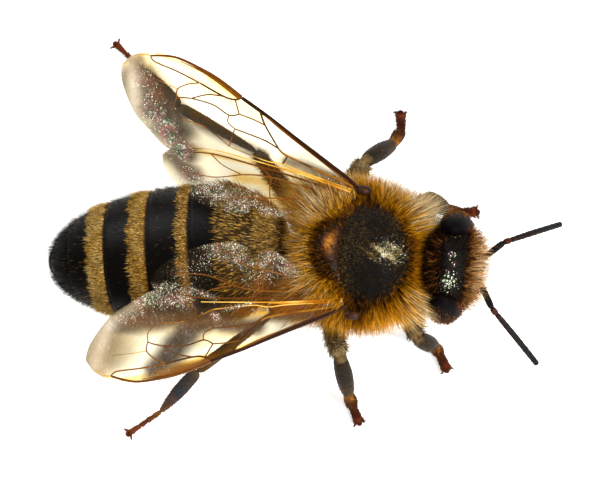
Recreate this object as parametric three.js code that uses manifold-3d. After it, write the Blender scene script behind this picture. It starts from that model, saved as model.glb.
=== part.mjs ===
// A worker honey bee standing on its six feet with its wings half spread, at life size in millimetres.
// +X is the way it faces, +Y its left side, +Z up, and the floor is z = 0. Each solid reaches to the
// tips of the fur that grows on it.
import * as THREE from "three";
import { mergeVertices } from "three/addons/utils/BufferGeometryUtils.js";
import Module from "manifold-3d";

const wasm = await Module();
wasm.setup();

// Clearances and least sizes
const GAP = 0.03; // clear space between two pieces that meet
const WELD = 0.0001; // vertices closer than this are one
const SLIVER = 0.008; // edges shorter than this are closed up after a cut
const THIN = 0.5; // least thickness of a wing, leg or feeler
const FOOT_LIFT = 0.17; // height of a foot's middle line: under its radius, so it stands on a flat

// The thorax, its shield at the back and the lids over the wing roots. Places on the thorax are in
// its own frame: forward, left and up from its middle.
const THORAX = {
  middle: [1.72, -0.46, 3.27],
  yaw: -5.5,
  length: 4.3,
  width: 5.1,
  height: 3.8,
  squared: [0.87, 0.9, 0.94], // under 1, a ball's sides are fuller
  squaredBehind: 0.78,
};
const SCUTELLUM = { place: [-0.98, 0, 1.5], pitch: -14, size: [1.1, 2.3, 0.84] };
const TEGULA = { place: [-0.05, 2.04, 0.98], size: [0.86, 0.62, 0.56] };

// The head, in its own frame
const HEAD = {
  middle: [4.68, -0.83, 2.97],
  yaw: -8,
  width: 3.3,
  height: 3.16,
  face: 1.22, // how far it reaches forward of its middle
  back: 0.72,
  squared: [0.85, 0.9, 0.92],
  narrow: { mouth: 0.42, crown: 0.06 }, // how much narrower it is at its foot and its top
  chin: 0.14, // how far the face falls back at its foot
};
const EYE = { place: [0.02, 1.35, 0.2], lean: 9, size: [1.22, 1.02, 2.5] };
const MANDIBLE = { root: [0.42, 0.5, -1.32], tip: [0.55, 0.3, -2.02], breadth: 0.55 };
const PROBOSCIS = { root: [0.12, 0, -1.5], elbow: [-0.2, 0, -1.78], tip: [-0.7, 0, -1.72] };
const FEELER = { breadth: 0.5, pedicel: 0.3 };

// The abdomen hangs from the waist and droops to its tip: six ringed plates, with each plate's hind
// edge measured along the middle line from the waist
const ABDOMEN = {
  waist: [-0.52, -0.17, 2.95],
  bearing: 183,
  droop: 8,
  length: 7.98,
  width: 4.62,
  height: 3.46,
  fullest: 2.5, // where it is widest
  neck: 0.38, // the front plate's start, as a share of the full width
  plates: [0.05, 0.8, 2.83, 4.24, 5.71, 7.09, 7.98],
  tail: 0.16, // the same at its tip
  swell: { front: 2.6, back: 2.2 }, // how late it narrows, as powers of the way to each end
  belly: 0.94, // depth below the middle line, as a share of that above it
  step: 0.02, // how far each hind edge stands over the next plate, as a share of the width
  bow: 0.22, // how far a plate's edge reaches back over the top
  dish: 0.3, // how far a plate's end face is dished
  shoulder: 1.2, // the bow and the dish fade where the plates are narrower than 1 / this
};

// Short stalks that join the three parts of the body
const STALKS = {
  neck: { from: [1.55, 0, -0.1], to: [2.75, -0.05, -0.1], breadth: 0.9 },
  waist: { from: [-1.75, 0.1, -0.32], to: [-2.75, 0.14, -0.36], breadth: 0.8 },
};

// Wings: places in a wing's own plane, where the first number runs from the hinge to the tip and the
// second towards the front edge
const WING_SPREAD = {
  left: { hinge: [1.66, 1.69, 4.3], bearing: 153, roll: 8 },
  right: { hinge: [1.33, -2.2, 4.3], bearing: 191, roll: 13 },
};
const FOREWING = {
  root: [0.05, -0.3],
  front: [[0.1, 0.1], [2.3, 0.48], [4.7, 0.98], [6.2, 1.2], [7.7, 1.02], [8.55, 0.45]],
  tip: [[8.66, 0.1], [8.38, -0.42], [7.6, -1.12], [6.85, -1.45], [6.03, -1.7]],
  hind: [[5.37, -1.38], [4.64, -1.07], [3.08, -0.76], [1.8, -0.53], [0.05, -0.3]],
};
const HINDWING = {
  root: [0.5, -0.62],
  front: [[0.5, -0.4], [1.8, -0.58], [3.08, -0.81], [4.64, -1.12], [5.37, -1.43], [6.03, -1.74]],
  tip: [[6.12, -1.93], [5.85, -2.3], [5.1, -2.68], [4.2, -2.83], [3.3, -2.76], [2.75, -2.42]],
  lobe: [[2.68, -2.17], [2.36, -2.26], [1.95, -2.2], [1.5, -1.72], [0.5, -0.62]],
};

// Legs: the hips and the joints next to them are in the thorax's frame, for the left side. Breadths
// run from the body outwards, over the hairs. Bends lift the middle of a segment.
const COXA_BREADTHS = [0.66, 0.74, 0.6];
const BENDS = { femur: 0.12, tibia: 0.06, basitarsus: 0, tarsus: -0.07 };
const LEG_PAIRS = {
  fore: {
    hip: [1.2, 0.5, -1.5],
    trochanter: [1.5, 1.0, -1.78],
    lengths: { tibia: 1.63, basitarsus: 0.68, tarsus: 0.64 },
    breadths: { femur: [0.55, 0.72, 0.62], tibia: [0.55, 0.66, 0.6], basitarsus: [0.5, 0.56, 0.5] },
  },
  mid: {
    hip: [-0.4, 0.62, -1.55],
    trochanter: [-1.02, 1.2, -1.8],
    lengths: { tibia: 2.05, basitarsus: 0.9, tarsus: 0.64 },
    breadths: { femur: [0.55, 0.72, 0.86], tibia: [0.6, 0.7, 0.58], basitarsus: [0.5, 0.5, 0.5] },
  },
  hind: {
    hip: [-1.25, 0.5, -1.35],
    trochanter: [-1.8, 1.02, -1.72],
    lengths: { tibia: 3.35, basitarsus: 1.95, tarsus: 1.22 },
    breadths: { femur: [0.55, 0.75, 0.6], tibia: [0.5, 0.66, 0.78], basitarsus: [0.68, 0.62, 0.5] },
  },
};
// Where each foot's tip stands, the bearings of its tibia, basitarsus and tarsus, and the heights of
// its joints: a foot that stands close to the body is bent more steeply
const STANCE = {
  fore_left: { toe: [5.66, 1.27], bearings: [-22, -7, 7], heights: [2.4, 0.95, 0.42] },
  fore_right: { toe: [4.69, -3.98], bearings: [-12, -50, -63], heights: [2.55, 1.06, 0.42] },
  mid_left: { toe: [3.17, 4.52], bearings: [36, 60, 94], heights: [2.75, 1.1, 0.42] },
  mid_right: { toe: [1.77, -5.75], bearings: [-75, -68, -66], heights: [2.95, 1.28, 0.44] },
  hind_left: { toe: [-6.34, 6.86], bearings: [148, 131, 138], heights: [2.45, 1.1, 0.4] },
  hind_right: { toe: [-5.84, -6.12], bearings: [-144, -133, -147], heights: [2.45, 1.1, 0.4] },
};
// The elbow and tip of each feeler
const FEELERS = {
  left: { socket: [5.45, -0.62, 3.35], elbow: [6.49, -0.11, 3.8], tip: [8.42, 0.66, 2.2] },
  right: { socket: [5.36, -1.25, 3.35], elbow: [6.09, -2.23, 3.8], tip: [7.6, -3.97, 2.3] },
};

const FINISH = {
  fur: { color: 0xc98a24, roughness: 0.95 },
  shell: { color: 0x2a1a10, roughness: 0.35 },
  shellAmber: { color: 0x7a4a1c, roughness: 0.4 },
  eye: { color: 0x120d0c, roughness: 0.3 },
  leg: { color: 0x34241a, roughness: 0.55 },
  foot: { color: 0x7a3f1c, roughness: 0.5 },
  wing: { color: 0xd9c08a, roughness: 0.25 },
};

const { lerp, degToRad } = THREE.MathUtils;
const UP = new THREE.Vector3(0, 0, 1);
const vec = (place) => new THREE.Vector3(...place);
const mirrored = ([x, y, z], side) => vec([x, side === "left" ? y : -y, z]);

// A frame at a place, turned about the vertical and then leant nose up by its pitch.
function frameAt(place, yaw, pitch = 0) {
  const turn = new THREE.Euler(0, degToRad(-pitch), degToRad(yaw), "ZYX");
  return new THREE.Matrix4().makeRotationFromEuler(turn).setPosition(vec(place));
}

const thoraxFrame = frameAt(THORAX.middle, THORAX.yaw);
const headFrame = frameAt(HEAD.middle, HEAD.yaw);
const onThorax = (place, side = "left") => mirrored(place, side).applyMatrix4(thoraxFrame);
const onHead = (place, side = "left") => mirrored(place, side).applyMatrix4(headFrame);

// A closed geometry as a solid that can be joined and cut.
function solid(geometry) {
  geometry.deleteAttribute("normal");
  geometry.deleteAttribute("uv");
  const merged = mergeVertices(geometry, WELD);
  return new wasm.Manifold(
    new wasm.Mesh({
      numProp: 3,
      vertProperties: merged.attributes.position.array,
      triVerts: new Uint32Array(merged.index.array),
    }),
  );
}

// Moves each point of a geometry to where a function puts it.
function moved(geometry, form) {
  const places = geometry.attributes.position;
  const point = new THREE.Vector3();
  for (let i = 0; i < places.count; i++) {
    const to = form(point.fromBufferAttribute(places, i));
    places.setXYZ(i, to.x, to.y, to.z);
  }
  return geometry;
}

// A unit ball with upright poles, given its shape by a function of its points and set in a frame.
function ball(round, high, form, frame) {
  const geometry = new THREE.SphereGeometry(1, round, high).rotateX(Math.PI / 2);
  return solid(moved(geometry, form).applyMatrix4(frame));
}

// An oval of three measures, larger by `grow` all round.
function oval(size, grow, round, high, frame) {
  const radii = vec(size).multiplyScalar(0.5).addScalar(grow);
  return ball(round, high, (p) => p.multiply(radii), frame);
}

// A value that runs evenly through a few given ones.
function through(values, t) {
  const at = t * (values.length - 1);
  const i = Math.min(Math.floor(at), values.length - 2);
  return lerp(values[i], values[i + 1], at - i);
}

// A limb along a smooth path: an eight-sided oval in section, measured across its flats, rounded at
// both ends and larger by `grow` all over. `broad` is the direction of its breadth, and `depths` the
// measure across that.
function limb({ path, breadths, depths = breadths, broad = UP, steps = 4, sides = 8 }, grow = 0) {
  const curve = new THREE.CatmullRomCurve3(path);
  const length = curve.getLength();
  const corner = 1 / Math.cos(Math.PI / sides);
  const geometry = new THREE.CylinderGeometry(corner, corner, 1, sides, steps);
  geometry.rotateY(Math.PI / sides);
  return solid(
    moved(geometry, (p) => {
      const t = (1 - Math.cos(Math.PI * (p.y + 0.5))) / 2;
      const along = curve.getTangent(t);
      const wide = broad.clone().addScaledVector(along, -broad.dot(along)).normalize();
      const deep = wide.clone().cross(along);
      const dome = 0.5 + 0.5 * Math.sqrt(1 - Math.abs(2 * t - 1) ** 5);
      const past = (2 * t - 1) * Math.min(grow, length);
      return curve
        .getPoint(t)
        .addScaledVector(along, past)
        .addScaledVector(wide, p.x * ((dome * through(breadths, t)) / 2 + grow))
        .addScaledVector(deep, p.z * ((dome * through(depths, t)) / 2 + grow));
    }),
  );
}

// Fills out a ball's side: a power under 1 brings its shape nearer to a box.
const boxy = (value, power) => Math.sign(value) * Math.abs(value) ** power;

// The thorax: a furry ball, squarer behind, where it drops steeply to the waist.
function thoraxBall(grow) {
  return ball(
    22,
    12,
    (p) => {
      const { length, width, height, squared, squaredBehind } = THORAX;
      const behind = p.x < 0 && p.z > 0;
      p.x = boxy(p.x, behind ? squaredBehind : squared[0]) * (length / 2 + grow);
      p.y = boxy(p.y, squared[1]) * (width / 2 + grow);
      p.z = boxy(p.z, squared[2]) * (height / 2 + grow);
      return p;
    },
    thoraxFrame,
  );
}

function scutellumBall(grow) {
  const frame = thoraxFrame.clone().multiply(frameAt(SCUTELLUM.place, 0, SCUTELLUM.pitch));
  return oval(SCUTELLUM.size, grow, 16, 8, frame);
}

function tegulaBall(side, grow) {
  const frame = thoraxFrame.clone().multiply(frameAt(mirrored(TEGULA.place, side).toArray(), 0));
  return oval(TEGULA.size, grow, 10, 6, frame);
}

// A stalk between two parts of the body, which lies along the thorax's middle.
function stalk({ from, to, breadth }, grow = 0) {
  return limb({ path: [onThorax(from), onThorax(to)], breadths: [breadth, breadth], steps: 3 }, grow);
}

// The head: a rounded wedge, widest across the eyes and narrow at the mouth, with a furry face.
function headBall(grow) {
  return ball(
    20,
    12,
    (p) => {
      const { width, height, face, back, squared, narrow, chin } = HEAD;
      const below = Math.max(0, -p.z);
      const taper = 1 - narrow.mouth * below - narrow.crown * Math.max(0, p.z);
      p.x = boxy(p.x, squared[0]) * ((p.x > 0 ? face : back) * (1 - chin * below) + grow);
      p.y = boxy(p.y, squared[1]) * ((taper * width) / 2 + grow);
      p.z = boxy(p.z, squared[2]) * (height / 2 + grow);
      return p;
    },
    headFrame,
  );
}

function eyeBall(side, grow) {
  const lean = degToRad(side === "left" ? EYE.lean : -EYE.lean);
  const frame = headFrame
    .clone()
    .multiply(frameAt(mirrored(EYE.place, side).toArray(), 0))
    .multiply(new THREE.Matrix4().makeRotationX(lean));
  return oval(EYE.size, grow, 12, 8, frame);
}

// Half the abdomen's breadth at a distance behind the waist, as a share of its full half-breadth.
function girth(s) {
  const { fullest, length, neck, tail, swell } = ABDOMEN;
  if (s < fullest) return 1 - (1 - neck) * ((fullest - s) / fullest) ** swell.front;
  const back = Math.min((s - fullest) / (length - fullest), 1);
  return Math.max(Math.sqrt(1 - back ** swell.back), tail);
}

// One ringed plate: an oval drum whose edges bow back over the top and whose end faces are dished,
// so that each nests in the next.
function abdomenPlate(front, back) {
  const { waist, bearing, droop, width, height, belly, step, bow, dish, shoulder } = ABDOMEN;
  const geometry = new THREE.CylinderGeometry(1, 1, 1, 24, 3).rotateZ(Math.PI / 2);
  const frame = frameAt(waist, bearing, -droop);
  return solid(
    moved(geometry, (p) => {
      const t = p.x + 0.5;
      const inside = Math.hypot(p.y, p.z) < 0.5;
      const place = lerp(front, back, t);
      const round = girth(place);
      const stepped = round * (1 + step * (t - 0.5));
      const bulge = inside ? dish * round + bow / 2 : (bow * (1 + p.z)) / 2;
      p.y *= (stepped * width) / 2;
      p.z *= (stepped * height * (p.z < 0 ? belly : 1)) / 2;
      p.x = place + bulge * Math.min(round * shoulder, 1);
      return p;
    }).applyMatrix4(frame),
  );
}

// A wing's own plane: out along the wing, towards its front edge, and up through its thickness.
function wingFrame({ hinge, bearing, roll }, side) {
  const turn = degToRad(bearing);
  const along = new THREE.Vector3(Math.cos(turn), Math.sin(turn), 0);
  const outward = side === "left" ? 1 : -1;
  const front = new THREE.Vector3(along.y, -along.x, 0).multiplyScalar(outward);
  front.multiplyScalar(Math.cos(degToRad(roll))).addScaledVector(UP, -Math.sin(degToRad(roll)));
  const basis = new THREE.Matrix4().makeBasis(along, front, along.clone().cross(front));
  return basis.setPosition(vec(hinge));
}

// A wing blade: its outline runs out along the front edge, round the tip and back to the root.
function blade({ root, ...edges }, frame) {
  const shape = new THREE.Shape().moveTo(...root);
  for (const edge of Object.values(edges))
    shape.splineThru(edge.map(([along, front]) => new THREE.Vector2(along, front)));
  const options = { depth: THIN, bevelEnabled: false, curveSegments: 2 };
  const geometry = new THREE.ExtrudeGeometry(shape, options).translate(0, 0, -THIN / 2);
  return solid(geometry.applyMatrix4(frame));
}

// A leg's five segments, worked out upwards from the tip of the foot.
function legSegments(pair, side) {
  const { hip, trochanter, lengths, breadths } = LEG_PAIRS[pair];
  const { toe, bearings, heights } = STANCE[pair + "_" + side];
  const inward = (from, length, bearing, height) => {
    const run = Math.sqrt(length ** 2 - (height - from.z) ** 2);
    const turn = degToRad(bearing);
    return new THREE.Vector3(from.x - run * Math.cos(turn), from.y - run * Math.sin(turn), height);
  };
  const tip = vec([...toe, FOOT_LIFT]);
  const heel = inward(tip, lengths.tarsus, bearings[2], heights[2]);
  const ankle = inward(heel, lengths.basitarsus, bearings[1], heights[1]);
  const knee = inward(ankle, lengths.tibia, bearings[0], heights[0]);
  const hipJoint = onThorax(hip, side);
  const nextJoint = onThorax(trochanter, side);
  const across = (from, to) => to.clone().sub(from).cross(UP).normalize();
  const bent = (from, to, lift) => [from, from.clone().lerp(to, 0.5).addScaledVector(UP, lift), to];
  const thin = [THIN, THIN, THIN];
  return {
    coxa: { path: [hipJoint, nextJoint], breadths: COXA_BREADTHS },
    femur: { path: bent(nextJoint, knee, BENDS.femur), breadths: breadths.femur },
    tibia: {
      path: bent(knee, ankle, BENDS.tibia),
      breadths: breadths.tibia,
      depths: pair === "hind" ? thin : breadths.tibia,
      broad: across(knee, ankle),
    },
    basitarsus: {
      path: bent(ankle, heel, BENDS.basitarsus),
      breadths: breadths.basitarsus,
      depths: pair === "hind" ? thin : breadths.basitarsus,
      broad: across(ankle, heel),
    },
    tarsus: { path: bent(heel, tip, BENDS.tarsus), breadths: thin, broad: across(heel, tip) },
  };
}

const bee = new THREE.Group();

// Adds a finished solid as a named mesh.
function add(group, name, form, finish) {
  const mesh = form.simplify(SLIVER).getMesh();
  const geometry = new THREE.BufferGeometry();
  geometry.setAttribute("position", new THREE.BufferAttribute(mesh.vertProperties, 3));
  geometry.setIndex(new THREE.BufferAttribute(mesh.triVerts, 1));
  geometry.computeVertexNormals();
  const piece = new THREE.Mesh(geometry, new THREE.MeshStandardMaterial(finish));
  piece.name = name;
  group.add(piece);
}

function part() {
  const group = new THREE.Group();
  bee.add(group);
  return group;
}

const SIDES = ["left", "right"];
const lids = SIDES.map((side) => tegulaBall(side, GAP));
const grownThorax = thoraxBall(GAP);

function addThorax() {
  const group = part();
  let thorax = thoraxBall(0).subtract(scutellumBall(GAP));
  for (const lid of lids) thorax = thorax.subtract(lid);
  for (const joint of Object.values(STALKS)) thorax = thorax.subtract(stalk(joint, GAP));
  add(group, "thorax", thorax, FINISH.fur);
  add(group, "scutellum", scutellumBall(0), FINISH.shell);
  for (const side of SIDES) add(group, "tegula_" + side, tegulaBall(side, 0), FINISH.shellAmber);
  for (const [name, joint] of Object.entries(STALKS)) add(group, name, stalk(joint), FINISH.shell);
}

function addHead() {
  const group = part();
  let head = headBall(0).subtract(stalk(STALKS.neck, GAP));
  for (const side of SIDES) {
    head = head.subtract(eyeBall(side, GAP));
    add(group, "eye_" + side, eyeBall(side, 0), FINISH.eye);
  }
  add(group, "head", head, FINISH.fur);
  const grownHead = headBall(GAP);
  for (const side of SIDES) addFeeler(group, side, grownHead);
  addMouth(group, grownHead);
}

function addFeeler(group, side, grownHead) {
  const { socket, elbow, tip } = FEELERS[side];
  const joints = [socket, elbow, tip].map(vec);
  const turned = joints[1].clone().lerp(joints[2], FEELER.pedicel / joints[1].distanceTo(joints[2]));
  const breadths = [FEELER.breadth, FEELER.breadth];
  const scape = { path: [joints[0], joints[1]], breadths };
  const flagellum = { path: [joints[1], turned, joints[2]], breadths, steps: 6 };
  add(group, "scape_" + side, limb(scape).subtract(grownHead), FINISH.shell);
  add(group, "flagellum_" + side, limb(flagellum).subtract(limb(scape, GAP)), FINISH.shell);
}

function addMouth(group, grownHead) {
  const { root, tip, breadth } = MANDIBLE;
  for (const side of SIDES) {
    const path = [onHead(root, side), onHead(tip, side)];
    const jaw = limb({ path, breadths: [breadth, THIN] });
    add(group, "mandible_" + side, jaw.subtract(grownHead), FINISH.shellAmber);
  }
  const tongue = [PROBOSCIS.root, PROBOSCIS.elbow, PROBOSCIS.tip].map((place) => onHead(place));
  const fold = limb({ path: tongue, breadths: [THIN, THIN] });
  add(group, "proboscis", fold.subtract(grownHead), FINISH.shellAmber);
}

function addAbdomen() {
  const group = part();
  ABDOMEN.plates.slice(1).forEach((back, i) => {
    let plate = abdomenPlate(ABDOMEN.plates[i] + GAP, back);
    if (i === 0) plate = plate.subtract(stalk(STALKS.waist, GAP)).subtract(grownThorax);
    add(group, "abdomen_" + (i + 1), plate, FINISH.shell);
  });
}

function addWings() {
  const group = part();
  SIDES.forEach((side, i) => {
    const frame = wingFrame(WING_SPREAD[side], side);
    for (const [name, outline] of Object.entries({ forewing: FOREWING, hindwing: HINDWING })) {
      const wing = blade(outline, frame).subtract(grownThorax).subtract(lids[i]);
      add(group, name + "_" + side, wing, FINISH.wing);
    }
  });
}

function addLeg(pair, side, below) {
  const group = part();
  let inner = grownThorax;
  for (const [name, segment] of Object.entries(legSegments(pair, side))) {
    let form = limb(segment).subtract(inner);
    if (name === "femur") form = form.subtract(grownThorax);
    if (name === "tarsus") form = form.subtract(below);
    const finish = name === "tarsus" || name === "basitarsus" ? FINISH.foot : FINISH.leg;
    add(group, pair + "_" + side + "_" + name, form, finish);
    inner = limb(segment, GAP);
  }
}

addThorax();
addHead();
addAbdomen();
addWings();
const FLOOR = { side: 20, depth: 1 };
const floor = new THREE.BoxGeometry(FLOOR.side, FLOOR.side, FLOOR.depth);
const below = solid(floor.translate(0, 0, -FLOOR.depth / 2));
for (const pair of Object.keys(LEG_PAIRS)) for (const side of SIDES) addLeg(pair, side, below);

// The origin is on the floor, under the middle of the whole.
const box = new THREE.Box3().setFromObject(bee);
const middle = box.getCenter(new THREE.Vector3());
bee.position.set(-middle.x, -middle.y, -box.min.z);

export default bee;
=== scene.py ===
"""A worker honey bee at life size, standing on its six feet with its wings half spread.

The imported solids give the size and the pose. Each is replaced here by the shell, eye, wing or limb
that it stands for, and the coat of hair grows on those.
"""

import math

import bmesh
import bpy
import numpy as np
from mathutils import Euler, Matrix, Vector


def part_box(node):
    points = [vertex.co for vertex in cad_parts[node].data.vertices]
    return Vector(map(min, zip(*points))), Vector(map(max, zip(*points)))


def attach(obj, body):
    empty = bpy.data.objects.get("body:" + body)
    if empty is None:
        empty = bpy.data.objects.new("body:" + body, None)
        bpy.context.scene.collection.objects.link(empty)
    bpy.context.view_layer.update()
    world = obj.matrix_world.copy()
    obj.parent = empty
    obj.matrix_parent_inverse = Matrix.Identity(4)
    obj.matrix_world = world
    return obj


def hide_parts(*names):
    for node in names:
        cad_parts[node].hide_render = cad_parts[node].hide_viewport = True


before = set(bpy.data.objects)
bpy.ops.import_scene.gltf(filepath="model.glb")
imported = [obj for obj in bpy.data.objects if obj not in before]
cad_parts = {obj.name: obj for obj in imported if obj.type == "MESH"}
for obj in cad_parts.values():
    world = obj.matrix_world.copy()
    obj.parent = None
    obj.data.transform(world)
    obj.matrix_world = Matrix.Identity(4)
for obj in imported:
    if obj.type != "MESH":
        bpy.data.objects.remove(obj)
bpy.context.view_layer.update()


# The studio: a long lens looks almost straight down on the bee from its right side. The floor is a
# white light table. Soft boxes shine from ahead, from behind its left shoulder and low on its
# right.
MM = 0.001
THORAX_YAW = -5.5
SCUTELLUM_PLACE = (-0.98, 0, 1.5)


def middle_of(node):
    low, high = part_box(node)
    return (low + high) / 2


def turned(origin, yaw, pitch=0, roll=0):
    """A frame in millimetres at a place in metres: yaw turns its nose left, pitch lifts it."""
    turn = Euler((math.radians(roll), math.radians(-pitch), math.radians(yaw)))
    return Matrix.Translation(origin) @ turn.to_matrix().to_4x4() @ Matrix.Scale(MM, 4)


thorax_frame = turned(middle_of("scutellum"), THORAX_YAW)
thorax_frame.translation = thorax_frame @ -Vector(SCUTELLUM_PLACE)

LENS = 240
VIEW_DISTANCE = 133.33 * MM
VIEW_ELEVATION = math.radians(85)
VIEW_CENTRE = (-1.72, 0.46, 0.23)

camera = bpy.data.objects.new("camera", bpy.data.cameras.new("camera"))
bpy.context.scene.collection.objects.link(camera)
bpy.context.scene.camera = camera
camera.data.lens = LENS
camera.data.sensor_width = 36
camera.data.clip_start = 0.01
camera.data.clip_end = 10
back = Vector((0, -math.cos(VIEW_ELEVATION), math.sin(VIEW_ELEVATION)))
camera.location = thorax_frame.translation + Vector(VIEW_CENTRE) * MM + back * VIEW_DISTANCE
camera.rotation_euler = (-back).to_track_quat("-Z", "Y").to_euler()


def soft_box(name, direction, distance, size, irradiance):
    """A square lamp that shines on the bee from a direction, set by the light that arrives."""
    lamp = bpy.data.lights.new(name, "AREA")
    lamp.size = size
    lamp.energy = irradiance * math.pi * distance**2
    made = bpy.data.objects.new(name, lamp)
    bpy.context.scene.collection.objects.link(made)
    towards = Vector(direction).normalized()
    made.location = towards * distance
    made.rotation_euler = (-towards).to_track_quat("-Z", "Y").to_euler()


soft_box("key", (0.55, -0.22, 0.8), 0.14, 0.035, 4.6)
soft_box("rim", (-0.5, 0.62, 0.6), 0.16, 0.06, 2.4)
soft_box("low", (0.4, -0.9, 0.35), 0.16, 0.06, 1.8)

world = bpy.data.worlds.new("studio")
bpy.context.scene.world = world
world.use_nodes = True
world.node_tree.nodes["Background"].inputs["Color"].default_value = (1, 0.99, 0.97, 1)
world.node_tree.nodes["Background"].inputs["Strength"].default_value = 0.28
bpy.context.scene.view_settings.view_transform = "Standard"


class Socket:
    """One output in a material. Sums on it add Math nodes, and node() adds any other node."""

    def __init__(self, tree, output):
        self.tree = tree
        self.output = output

    def node(self, kind, inputs, output=0, stops=(), **settings):
        made = self.tree.nodes.new("ShaderNode" + kind)
        for name, value in settings.items():
            setattr(made, name, value)
        for _ in stops[2:]:
            made.color_ramp.elements.new(1)
        for i, (place, colour) in enumerate(stops):
            made.color_ramp.elements[i].position = place
            made.color_ramp.elements[i].color = colour
        for name, value in inputs.items():
            if isinstance(value, Socket):
                self.tree.links.new(value.output, made.inputs[name])
            else:
                made.inputs[name].default_value = value
        return Socket(self.tree, made.outputs[output])

    def math(self, operation, first, second):
        return self.node("Math", {0: first, 1: second}, operation=operation)

    def __add__(self, other):
        return self.math("ADD", self, other)

    def __radd__(self, other):
        return self.math("ADD", other, self)

    def __sub__(self, other):
        return self.math("SUBTRACT", self, other)

    def __rsub__(self, other):
        return self.math("SUBTRACT", other, self)

    def __mul__(self, other):
        return self.math("MULTIPLY", self, other)

    def __rmul__(self, other):
        return self.math("MULTIPLY", other, self)

    def __lt__(self, other):
        return self.math("LESS_THAN", self, other)

    def noise(self, per_mm, detail=2):
        inputs = {"Vector": self, "Scale": per_mm / MM, "Detail": detail}
        return self.node("TexNoise", inputs, "Fac")

    def cells(self, per_mm, output="Distance"):
        return self.node("TexVoronoi", {"Vector": self, "Scale": per_mm / MM}, output)

    def chances(self, per_mm):
        """Two unlike random values for each cell."""
        random = self.cells(per_mm, "Color")
        return [self.node("SeparateColor", {"Color": random}, name) for name in ("Red", "Green")]

    def attribute(self, name):
        return self.node("Attribute", {}, "Fac", attribute_name=name)

    def step(self, low, high):
        inputs = {"Value": self, "From Min": low, "From Max": high}
        return self.node("MapRange", inputs, interpolation_type="SMOOTHSTEP")

    def ramp(self, *stops):
        count = max(len(stops) - 1, 1)
        spread = [(i / count, paint(stop)) for i, stop in enumerate(stops)]
        return self.node("ValToRGB", {"Fac": self}, stops=spread)

    def mix(self, other, share, blend="MIX"):
        inputs = {0: share, 6: self, 7: other}
        return self.node("Mix", inputs, 2, data_type="RGBA", blend_type=blend)

    def bump(self, depth):
        """Height in millimetres, at most depth."""
        return self.node("Bump", {"Height": self, "Strength": 1.0, "Distance": depth * MM})


def paint(code):
    """A colour as a screen shows it, written as six hex digits, in the shader's own terms."""
    shown = [int(code[i : i + 2], 16) / 255 for i in (0, 2, 4)]
    return [c / 12.92 if c < 0.04 else ((c + 0.055) / 1.055) ** 2.4 for c in shown] + [1]


def material(name, look, **fixed):
    """A material whose look takes the object's coordinates and gives the inputs that vary."""
    made = bpy.data.materials.new(name)
    made.use_nodes = True
    tree = made.node_tree
    shader = tree.nodes["Principled BSDF"]
    for key, value in fixed.items():
        shader.inputs[key.replace("_", " ")].default_value = value
    place = Socket(tree, tree.nodes.new("ShaderNodeTexCoord").outputs["Object"])
    for key, value in look(place).items():
        tree.links.new(value.output, shader.inputs[key])
    return made


def floor_look(place):
    return {"Base Color": place.noise(0.02).ramp("f6f6f4", "fbfbfa")}


bm = bmesh.new()
bmesh.ops.create_grid(bm, x_segments=1, y_segments=1, size=1.5)
floor_mesh = bpy.data.meshes.new("floor")
bm.to_mesh(floor_mesh)
bm.free()
glow_of_table = {"Emission_Color": (1, 1, 1, 1), "Emission_Strength": 0.55}
floor_mesh.materials.append(material("floor", floor_look, Roughness=0.9, **glow_of_table))
floor = bpy.data.objects.new("floor", floor_mesh)
bpy.context.scene.collection.objects.link(floor)


# The thorax: one domed shell of hard black skin, fullest over the flight muscles. A groove parts
# its shield from the rest, and a line runs down the middle of the shield.
THORAX_RADII = (1.86, 1.9, 1.66)
# Where a gleam is painted on the shield, in its flecks and in its nap: forward, left
SHIELD_GLEAM = (0.98, 0.04)
WELD = 1e-7
SHELL_BLACK = ("020201", "080704", "151109")
# Colours of the glints painted on the horn, from dim to white
GLEAM = ("2a2a18", "7d8858", "b8c890", "f4f6e0", "ffffff")


def squared(value, power):
    """Fills out a ball's side: a power under 1 brings its shape nearer to a box."""
    return math.copysign(abs(value) ** power, value)


def smooth(low, high, value):
    """0 at low and 1 at high, with soft ends."""
    share = np.clip((value - low) / (high - low), 0, 1)
    return share * share * (3 - 2 * share)


def wrap(bm, base, around, along, form, marking=None):
    """Winds a sheet into a closed skin. form takes the share of the turn, from underneath, and of
    the way along, and gives a place in the base frame's millimetres."""
    bm.loops.layers.uv.verify()
    mark = bm.verts.layers.float.get("mark") or bm.verts.layers.float.new("mark")
    sheet = bmesh.ops.create_grid(
        bm, x_segments=around, y_segments=along, size=0.5, calc_uvs=True
    )["verts"]
    for vert in sheet:
        turn, way = vert.co.x + 0.5, vert.co.y + 0.5
        vert.co = base @ form(turn, way)
        vert[mark] = marking(turn, way) if marking else 0
    bmesh.ops.remove_doubles(bm, verts=sheet, dist=WELD)


def finished(bm, name, look, slot, *nodes):
    """Makes a piece of the shells gathered in bm, which stands for some nodes."""
    bmesh.ops.recalc_face_normals(bm, faces=bm.faces)
    mesh = bpy.data.meshes.new(name)
    bm.to_mesh(mesh)
    bm.free()
    mesh.shade_smooth()
    mesh.materials.append(look)
    return placed(bpy.data.objects.new(name, mesh), slot, *nodes)


def placed(piece, slot, *nodes):
    bpy.context.scene.collection.objects.link(piece)
    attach(piece, "root")
    if nodes:
        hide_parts(*nodes)
    return piece


def shell_look(place):
    """Black horn, with painted glints: flecks of green, gold and white where mark is high."""
    grain = place.noise(9, 3)
    chance, hue = place.chances(32)
    painted_fleck = chance < place.attribute("mark") * (2.2 * place.noise(7, 2) - 0.1)
    return {
        "Base Color": grain.ramp(*SHELL_BLACK).mix(hue.ramp(*GLEAM), painted_fleck),
        "Roughness": 0.5 + 0.25 * grain - 0.3 * painted_fleck,
        "Normal": place.cells(22).step(0, 0.5).bump(0.006),
    }


shell = material("shell", shell_look, Specular_IOR_Level=0.1)


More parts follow.
